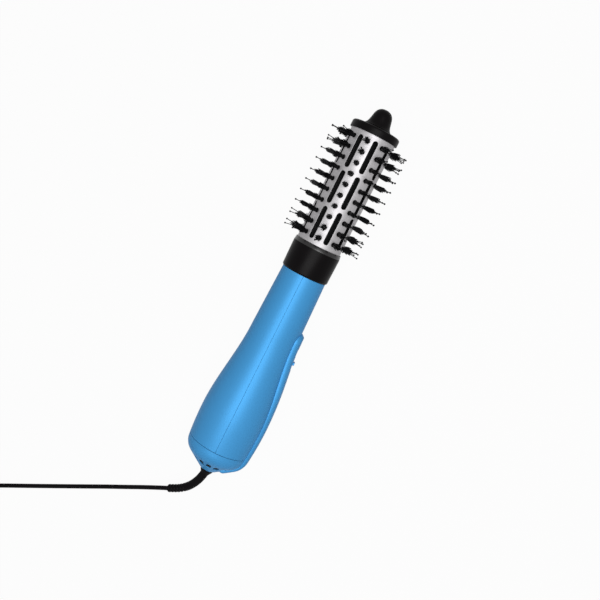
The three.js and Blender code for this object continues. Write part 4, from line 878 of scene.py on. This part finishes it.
def tip_cap(finish):
    """The black ring that closes the barrel, rising to the cool tip."""
    seat = BARREL_RADIUS + CLEARANCE
    line = [
        (306.0, seat), (306.0, 20.5), (311.3, 20.5), (312.5, 19.3), (313.1, 14.5), (313.4, 11.9),
        (313.5, 11.6), (313.5, KNOB_BORE), (311.6, KNOB_BORE), (311.6, seat),
    ]
    bm = spun(eased(line, 1.1, 5), 128, closed=True)
    laid(bm, "barrel_cap", HEAD, "body", ["tip_cap"], finish, 50)


def cool_tip(finish):
    """The knob at the tip: a blind bore, a soft foot, a tapered flank and a round end."""
    flank = (10.35, 9.72, 9.33, 9.03, 8.77, 8.53, 8.32, 8.1, 7.86, 7.56, 7.14, 6.56, 5.74)  # at each mm
    line = [(321.0, 0.0), (321.0, KNOB_BORE), (313.65, KNOB_BORE), (313.65, 11.3)]
    line += [(313.8, 11.45), (314.2, 11.0)] + [(315.0 + i, r) for i, r in enumerate(flank)]
    line += [(327.8, 4.78), (328.4, 3.7), (328.8, 2.5), (328.97, 1.2), (329.0, 0.0)]
    laid(spun(line, 96), "knob", HEAD, "body", ["cool_tip"], finish, 60)


# ---------------- cord

def smooth_route(points):
    """Points on the smooth curve through a route, spaced by the square root of the chords."""
    per_span = 6
    out = []
    ends = [2 * points[0] - points[1]] + points + [2 * points[-1] - points[-2]]
    for p0, p1, p2, p3 in zip(ends, ends[1:], ends[2:], ends[3:]):
        d0, d1, d2 = (sqrt((b - a).length) for a, b in ((p0, p1), (p1, p2), (p2, p3)))
        m1 = ((p1 - p0) / d0 - (p2 - p0) / (d0 + d1) + (p2 - p1) / d1) * d1
        m2 = ((p2 - p1) / d1 - (p3 - p1) / (d1 + d2) + (p3 - p2) / d2) * d1
        for i in range(per_span):
            t = i / per_span
            a = 2 * t**3 - 3 * t**2 + 1
            out.append(a * p1 + (t**3 - 2 * t**2 + t) * m1 + (1 - a) * p2 + (t**3 - t**2) * m2)
    return out + [points[-1]]


EXIT_MM = EXIT / MM
LEAD = [
    Vector((EXIT_MM.x - back, EXIT_MM.y + side, mix(EXIT_MM.z, CORD_HEIGHT, fallen)))
    for back, side, fallen in LEAD_ROUTE
]
ENTRY = Vector((EXIT_MM.x - COIL_ENTRY[0], EXIT_MM.y + COIL_ENTRY[1], COIL_BOTTOM))
ARRIVAL = Vector(((ENTRY - LEAD[-1]).x, (ENTRY - LEAD[-1]).y, 0)).normalized()
INWARD = Vector((ARRIVAL.y, -ARRIVAL.x, 0))
TURNS_IN_LAYER = COIL_LOOPS / COIL_LAYERS
COIL_OUTER = COIL_MIDDLE + TURNS_IN_LAYER * COIL_STEP / 2
COIL_TOP = COIL_BOTTOM + (COIL_LAYERS - 1) * COIL_STEP
COIL_CENTRE = ENTRY + INWARD * COIL_OUTER
COIL_CENTRE.z = 0


def from_coil(along, across, z):
    place = COIL_CENTRE + along * ARRIVAL + across * INWARD
    return Vector((place.x, place.y, z))


def lead_route():
    near = ENTRY - (COIL_STRAIGHT + CLEARANCE) * ARRIVAL
    before = ENTRY - 3 * COIL_STRAIGHT * ARRIVAL
    before.z = mix(CORD_HEIGHT, COIL_BOTTOM, 0.85)
    return LEAD + [before, near]


def coil_point(turns):
    phase = turns / TURNS_IN_LAYER
    layer = min(int(phase), COIL_LAYERS - 1)
    share = phase - layer
    inwards = share if layer % 2 == 0 else 1 - share
    radius = COIL_OUTER - inwards * TURNS_IN_LAYER * COIL_STEP
    climbed = 0.0
    for reverse in range(1, COIL_LAYERS):
        climbed += min(max((turns - (reverse * TURNS_IN_LAYER - 0.25)) / 0.5, 0), 1)
    angle = 2 * pi * turns - pi / 2
    return from_coil(radius * cos(angle), radius * sin(angle), COIL_BOTTOM + climbed * COIL_STEP)


def at_plug(ahead):
    """A point on the plug's axis, this far ahead of the tail's last one."""
    along, across, _ = TAIL_ROUTE[-1]
    return from_coil(along, across + ahead, PLUG_HEIGHT)


def cord_route():
    """The whole centreline: from the exit along the floor, round the coil and into the plug."""
    steps = 40
    coil = [coil_point(i / steps) for i in range(COIL_LOOPS * steps + 1)]
    start = from_coil(COIL_STRAIGHT + CLEARANCE, -COIL_OUTER, COIL_TOP)
    after = from_coil(COIL_STRAIGHT + CLEARANCE + 2, -COIL_OUTER, COIL_TOP)
    tail = [from_coil(a, b, mix(PLUG_HEIGHT, COIL_TOP, up)) for a, b, up in TAIL_ROUTE]
    tail.insert(-1, at_plug(-2))
    return smooth_route(lead_route()) + coil + smooth_route([start, after] + tail) + [at_plug(2)]


def between(points, start, end, count):
    """Evenly spaced points on part of a route."""
    run = distances(points)
    out, k = [], 0
    for i in range(count + 1):
        wanted = mix(start, end, i / count)
        while k < len(run) - 2 and run[k + 1] < wanted:
            k += 1
        out.append(points[k].lerp(points[k + 1], (wanted - run[k]) / (run[k + 1] - run[k])))
    return out


def swept(points, radii, sides):
    """A ring carried along a route and closed at both ends."""
    bm = bmesh.new()
    frames = []
    for i, point in enumerate(points):
        ahead = (points[min(i + 1, len(points) - 1)] - points[max(i - 1, 0)]).normalized()
        side = Vector((0, 0, 1)).cross(ahead).normalized()
        over = ahead.cross(side)
        frames.append(Matrix.Translation(point) @ Matrix((side, over, ahead)).transposed().to_4x4())
    bmesh.ops.create_circle(bm, segments=sides, radius=radii[0], matrix=frames[0])
    edges = list(bm.edges)
    bmesh.ops.contextual_create(bm, geom=edges)
    for i in range(1, len(points)):
        grown = bmesh.ops.extrude_edge_only(bm, edges=edges)["geom"]
        edges = only(BMEdge, grown)
        growth = radii[i] / radii[i - 1]
        move = frames[i] @ Matrix.Diagonal((growth, growth, growth, 1)) @ frames[i - 1].inverted()
        bmesh.ops.transform(bm, matrix=move, verts=only(BMVert, grown))
    bmesh.ops.contextual_create(bm, geom=edges)
    bmesh.ops.recalc_face_normals(bm, faces=bm.faces)
    return bm


def strain_relief(route, finish):
    """The boot on the cord: a flared root, a smooth taper, and ribs towards its end."""
    count = 184
    points = between(route, 0.0, RELIEF_LENGTH, count)
    radii = []
    for i in range(count + 1):
        distance = RELIEF_LENGTH * i / count
        flare = (RELIEF_ROOT - RELIEF_START) * (1 - smoothstep(distance, 0.8, 6.0))
        radius = mix(RELIEF_START, RELIEF_END, distance / RELIEF_LENGTH) + flare
        if distance > RIB_START:
            phase = 2 * pi * (distance - RIB_START) / RIB_PITCH
            radius -= RIB_DEPTH * (0.5 + 0.5 * cos(phase)) ** 1.5
        radii.append(radius)
    for k, shrink in enumerate((0.86, 0.93, 0.975)):
        radii[-1 - k] *= shrink
    axis = HANDLE.to_3x3() @ Vector((1, 0, 0)) / MM
    root, core, flange = RELIEF_ROOT, 5.0, 7.3
    inner = ((12.8, core), (4.6, core), (4.55, flange), (2.6, flange), (2.55, root), (0.05, root))
    start = [EXIT_MM + axis * depth for depth, _ in inner]
    bm = swept(start + points[1:], [radius for _, radius in inner] + radii[1:], 32)
    return laid(bm, "cord_boot", Matrix.Scale(MM, 4), "cord_set", ["strain_relief"], finish, 50)


def flex(route, finish):
    """The cord itself, as one curve from the exit to the plug."""
    data = bpy.data.curves.new("mains_cord", "CURVE")
    data.dimensions = "3D"
    spline = data.splines.new("POLY")
    spline.points.add(len(route) - 1)
    for point, place in zip(spline.points, route):
        point.co = (*(place * MM), 1)
    spline.use_smooth = True
    data.bevel_depth = CORD_RADIUS * MM
    data.bevel_resolution = 4
    data.use_fill_caps = True
    data.materials.append(finish)
    piece = placed("mains_cord", data)
    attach(piece, "cord_set")
    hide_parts("cord_lead", "cord_coil", "cord_tail")
    return piece


def beside_coil(place):
    """The frame of a piece whose x runs outwards from the coil's middle line."""
    turn = Matrix.Rotation(atan2(INWARD.y, INWARD.x), 4, "Z")
    return Matrix.Scale(MM, 4) @ Matrix.Translation(place) @ turn


def coil_tie(finish):
    """A strap round all the turns on one side of the coil."""
    slack = CORD_RADIUS + TIE_SLACK
    least = COIL_OUTER - (TURNS_IN_LAYER - 0.5) * COIL_STEP - slack
    most = COIL_OUTER - COIL_STEP / 2 + slack
    bm = bmesh.new()
    box(bm, least, most, -TIE_HALF, TIE_HALF, 0.2, COIL_TOP + slack)
    ends = [f for f in bm.faces if abs(f.normal.y) > 0.9]
    bmesh.ops.delete(bm, geom=ends, context="FACES_ONLY")
    rounded(bm, [e for e in bm.edges if abs((e.verts[0].co - e.verts[1].co).y) > 1], TIE_ROUND, 6)
    middle = Vector(((least + most) / 2, 0, 9))
    facing(bm, lambda f: f.calc_center_median() - middle)
    piece = laid(bm, "cord_tie", beside_coil(COIL_CENTRE), "cord_set", ["coil_tie"], finish)
    return softened(walled(piece, 0.95), 0.2)


def plug(finish, metal_finish):
    """A flat two-blade plug with a ribbed neck, drawn out ring by ring."""
    squareness = 0.62
    wide, deep = PLUG_WIDTH / 2, PLUG_DEPTH / 2
    neck = [(0.2, 3.2), (0.6, 3.8), (1.6, 3.8), (2.0, 3.2), (2.6, 3.2)]
    neck += [(x + 2.4, r + 0.2) for x, r in neck[1:]] + [(5.4, 4.2), (6.8, 4.3)]
    stations = [(x, r, r) for x, r in neck] + [
        (8.2, 4.9, 4.5), (10.2, 7.6, 5.1), (12.4, 9.8, 5.7), (17.0, 10.9, 6.2), (24.0, 11.6, 6.6),
        (29.0, 11.9, 6.75), (PLUG_LENGTH - 1.4, wide, deep), (PLUG_LENGTH - 0.4, wide - 0.3, deep - 0.3),
        (PLUG_LENGTH, wide - 0.9, deep - 0.9),
    ]
    lie = beside_coil(at_plug(CLEARANCE))
    bm = bmesh.new()
    ring = bmesh.ops.create_circle(bm, segments=48, radius=1.0)["verts"]
    bearing = {v: atan2(v.co.y, v.co.x) for v in ring}
    edges = list(bm.edges)
    for i, (x, half_width, half_depth) in enumerate(stations):
        if i:
            grown = bmesh.ops.extrude_edge_only(bm, edges=edges)["geom"]
            edges = only(BMEdge, grown)
            bearing = handed_on(bearing, only(BMVert, grown))
        for vert, angle in bearing.items():
            across = half_width * squared(cos(angle), squareness)
            vert.co = (x, across, half_depth * squared(sin(angle), squareness))
        if i == 0:
            bmesh.ops.contextual_create(bm, geom=edges)
    bmesh.ops.contextual_create(bm, geom=edges)
    bmesh.ops.recalc_face_normals(bm, faces=bm.faces)
    pieces = [laid(bm, "cord_plug", lie, "cord_set", ["plug_body"], finish, 40)]
    for number, sign in ((1, -1), (2, 1)):
        bm = bmesh.new()
        y, thick, half = sign * BLADE_SPACING / 2, BLADE_THICKNESS / 2, BLADE_WIDTH / 2
        box(bm, BLADE_START, BLADE_END, y - thick, y + thick, -half, half)
        rounded(bm, [e for e in bm.edges if all(v.co.x > BLADE_END - 1 for v in e.verts)], 0.5, 2)
        name, node = f"blade_{number}", f"plug_blade_{number}"
        pieces.append(laid(bm, name, lie, "cord_set", [node], metal_finish, 30))
    return pieces


# ---------------- floor and light

def background_seen(tree, otherwise, seen):
    """One value where the camera, a gloss or glass looks at the background, and another for its light."""
    rays = tree.nodes.new("ShaderNodeLightPath")
    value = rays.outputs["Is Camera Ray"]
    for ray in ("Is Glossy Ray", "Is Transmission Ray"):
        either = tree.nodes.new("ShaderNodeMath")
        either.operation = "MAXIMUM"
        tree.links.new(value, either.inputs[0])
        tree.links.new(rays.outputs[ray], either.inputs[1])
        value = either.outputs[0]
    spread = tree.nodes.new("ShaderNodeMapRange")
    return tuned(spread, Value=value, To_Min=otherwise, To_Max=seen).outputs["Result"]


def floor():
    """A plain pale floor that reads as white and keeps a soft shadow."""
    bm = bmesh.new()
    bmesh.ops.create_grid(bm, x_segments=1, y_segments=1, size=6.0)
    piece = placed("floor", mesh_of(bm, "floor"))
    piece.location.z = -0.0003
    material = bpy.data.materials.new("floor")
    material.use_nodes = True
    tree = material.node_tree
    shader = tree.nodes["Principled BSDF"]
    tuned(shader, Base_Color=(0.4, 0.4, 0.4, 1), Roughness=0.9, Specular_IOR_Level=0.1)
    glow = tuned(tree.nodes.new("ShaderNodeEmission"), Strength=1.0)
    blend = tree.nodes.new("ShaderNodeMixShader")
    tuned(blend, Fac=background_seen(tree, 0.0, 0.96))
    tree.links.new(shader.outputs["BSDF"], blend.inputs[1])
    tree.links.new(glow.outputs["Emission"], blend.inputs[2])
    tuned(tree.nodes["Material Output"], Surface=blend.outputs["Shader"])
    piece.data.materials.append(material)


def studio():
    """A plain pale room, white to the eye and in reflections, and a long soft lamp overhead."""
    world = bpy.data.worlds.new("room")
    bpy.context.scene.world = world
    world.use_nodes = True
    tree = world.node_tree
    tuned(tree.nodes["Background"], Color=(1, 1, 1, 1), Strength=background_seen(tree, 0.05, 1.0))
    data = bpy.data.lights.new("overhead", "AREA")
    data.shape = "RECTANGLE"
    data.size, data.size_y = 1.4, 0.75
    data.energy = 18.5
    lamp = placed("overhead", data)
    place = Vector((0.0, -0.2, 1.25))
    facing = (-place).to_track_quat("-Z", "Y").to_matrix().to_4x4()
    lamp.matrix_world = Matrix.Translation(place) @ facing @ Matrix.Rotation(radians(-35), 4, "Z")


# ---------------- the inside, kept as it is built

def dress_inside():
    """Finishes for the pieces that keep their built shape."""
    inside = (
        (metal("bright_steel", (0.48, 0.48, 0.5)), (
            "cap_screw_1", "cap_screw_2", "switch_screw_1", "switch_screw_2", "motor_shaft", "tie_rod",
            "rod_nut", "thermal_cutout", "thermal_fuse",
        )),
        (metal("brass_strip", (0.55, 0.38, 0.12)), (
            "contact_spring_live", "contact_spring_neutral", "slip_ring",
        )),
        (metal("zinc_plate", (0.42, 0.43, 0.46), (0.35, 0.5)), ("motor_can",)),
        (layered_mica(), ("mica_sleeve", "heater_board_flat", "heater_board_upright")),
        (wound_wire(), ("heater_winding",)),
        (moulded("grey_moulding", (0.09, 0.1, 0.11), (0.4, 0.5)), ("fan_duct", "slide_switch")),
        (moulded("circuit_board", (0.03, 0.12, 0.03), (0.35, 0.45)), ("rectifier_board",)),
        (moulded("dark_moulding", (0.004, 0.004, 0.0045), (0.5, 0.6), specular=0.1), (
            "intake_screen", "swivel_housing", "fan", "rod_spider", "air_guide",
        )),
        (moulded("lead_sheath", (0.012, 0.012, 0.013), (0.45, 0.55)), (
            "lead_live", "lead_neutral", "lead_heater", "lead_motor",
        )),
    )
    for finish, nodes in inside:
        for node in nodes:
            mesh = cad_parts[node].data
            mesh.materials.clear()
            mesh.materials.append(finish)


# ---------------- all together

def main():
    bpy.context.scene.view_settings.view_transform = "Standard"
    place_camera()
    vinyl = moulded("cord_vinyl", (0.0025, 0.002, 0.0025), (0.45, 0.52), 1400.0, 0.04)
    route = cord_route()
    boot = strain_relief(route, vinyl)
    lead = flex(route, vinyl)
    strap = coil_tie(moulded("tie_plastic", (0.012, 0.012, 0.013), (0.4, 0.5)))
    on_cord = [boot, strap] + plug(vinyl, metal("blade_brass", (0.6, 0.43, 0.16), (0.22, 0.32)))
    lacquer = blue_lacquer()
    black = moulded("black_moulding", (0.003, 0.0024, 0.0027), (0.32, 0.38), 900.0, 0.05)
    handle_shells(lacquer)
    end_cap(lacquer)
    # A dark sheet behind the vents: painted shade in the holes.
    vent_shade_sheet(black)
    switch_panel(lacquer)
    switch_slider(lacquer)
    # The collar's bevel gets a paler, glossier black than its body: painted highlight.
    neck_collar(black, moulded("bevel_painted_highlight", (0.005, 0.0043, 0.0047), (0.26, 0.32), 900.0, 0.42))
    barrel(brushed_barrel())
    bristle_carriers(moulded("bristle_nylon", (0.003, 0.003, 0.0035), (0.42, 0.5), 1400.0, 0.1))
    tip_cap(black)
    cool_tip(black)
    dress_inside()
    floor()
    studio()


main()
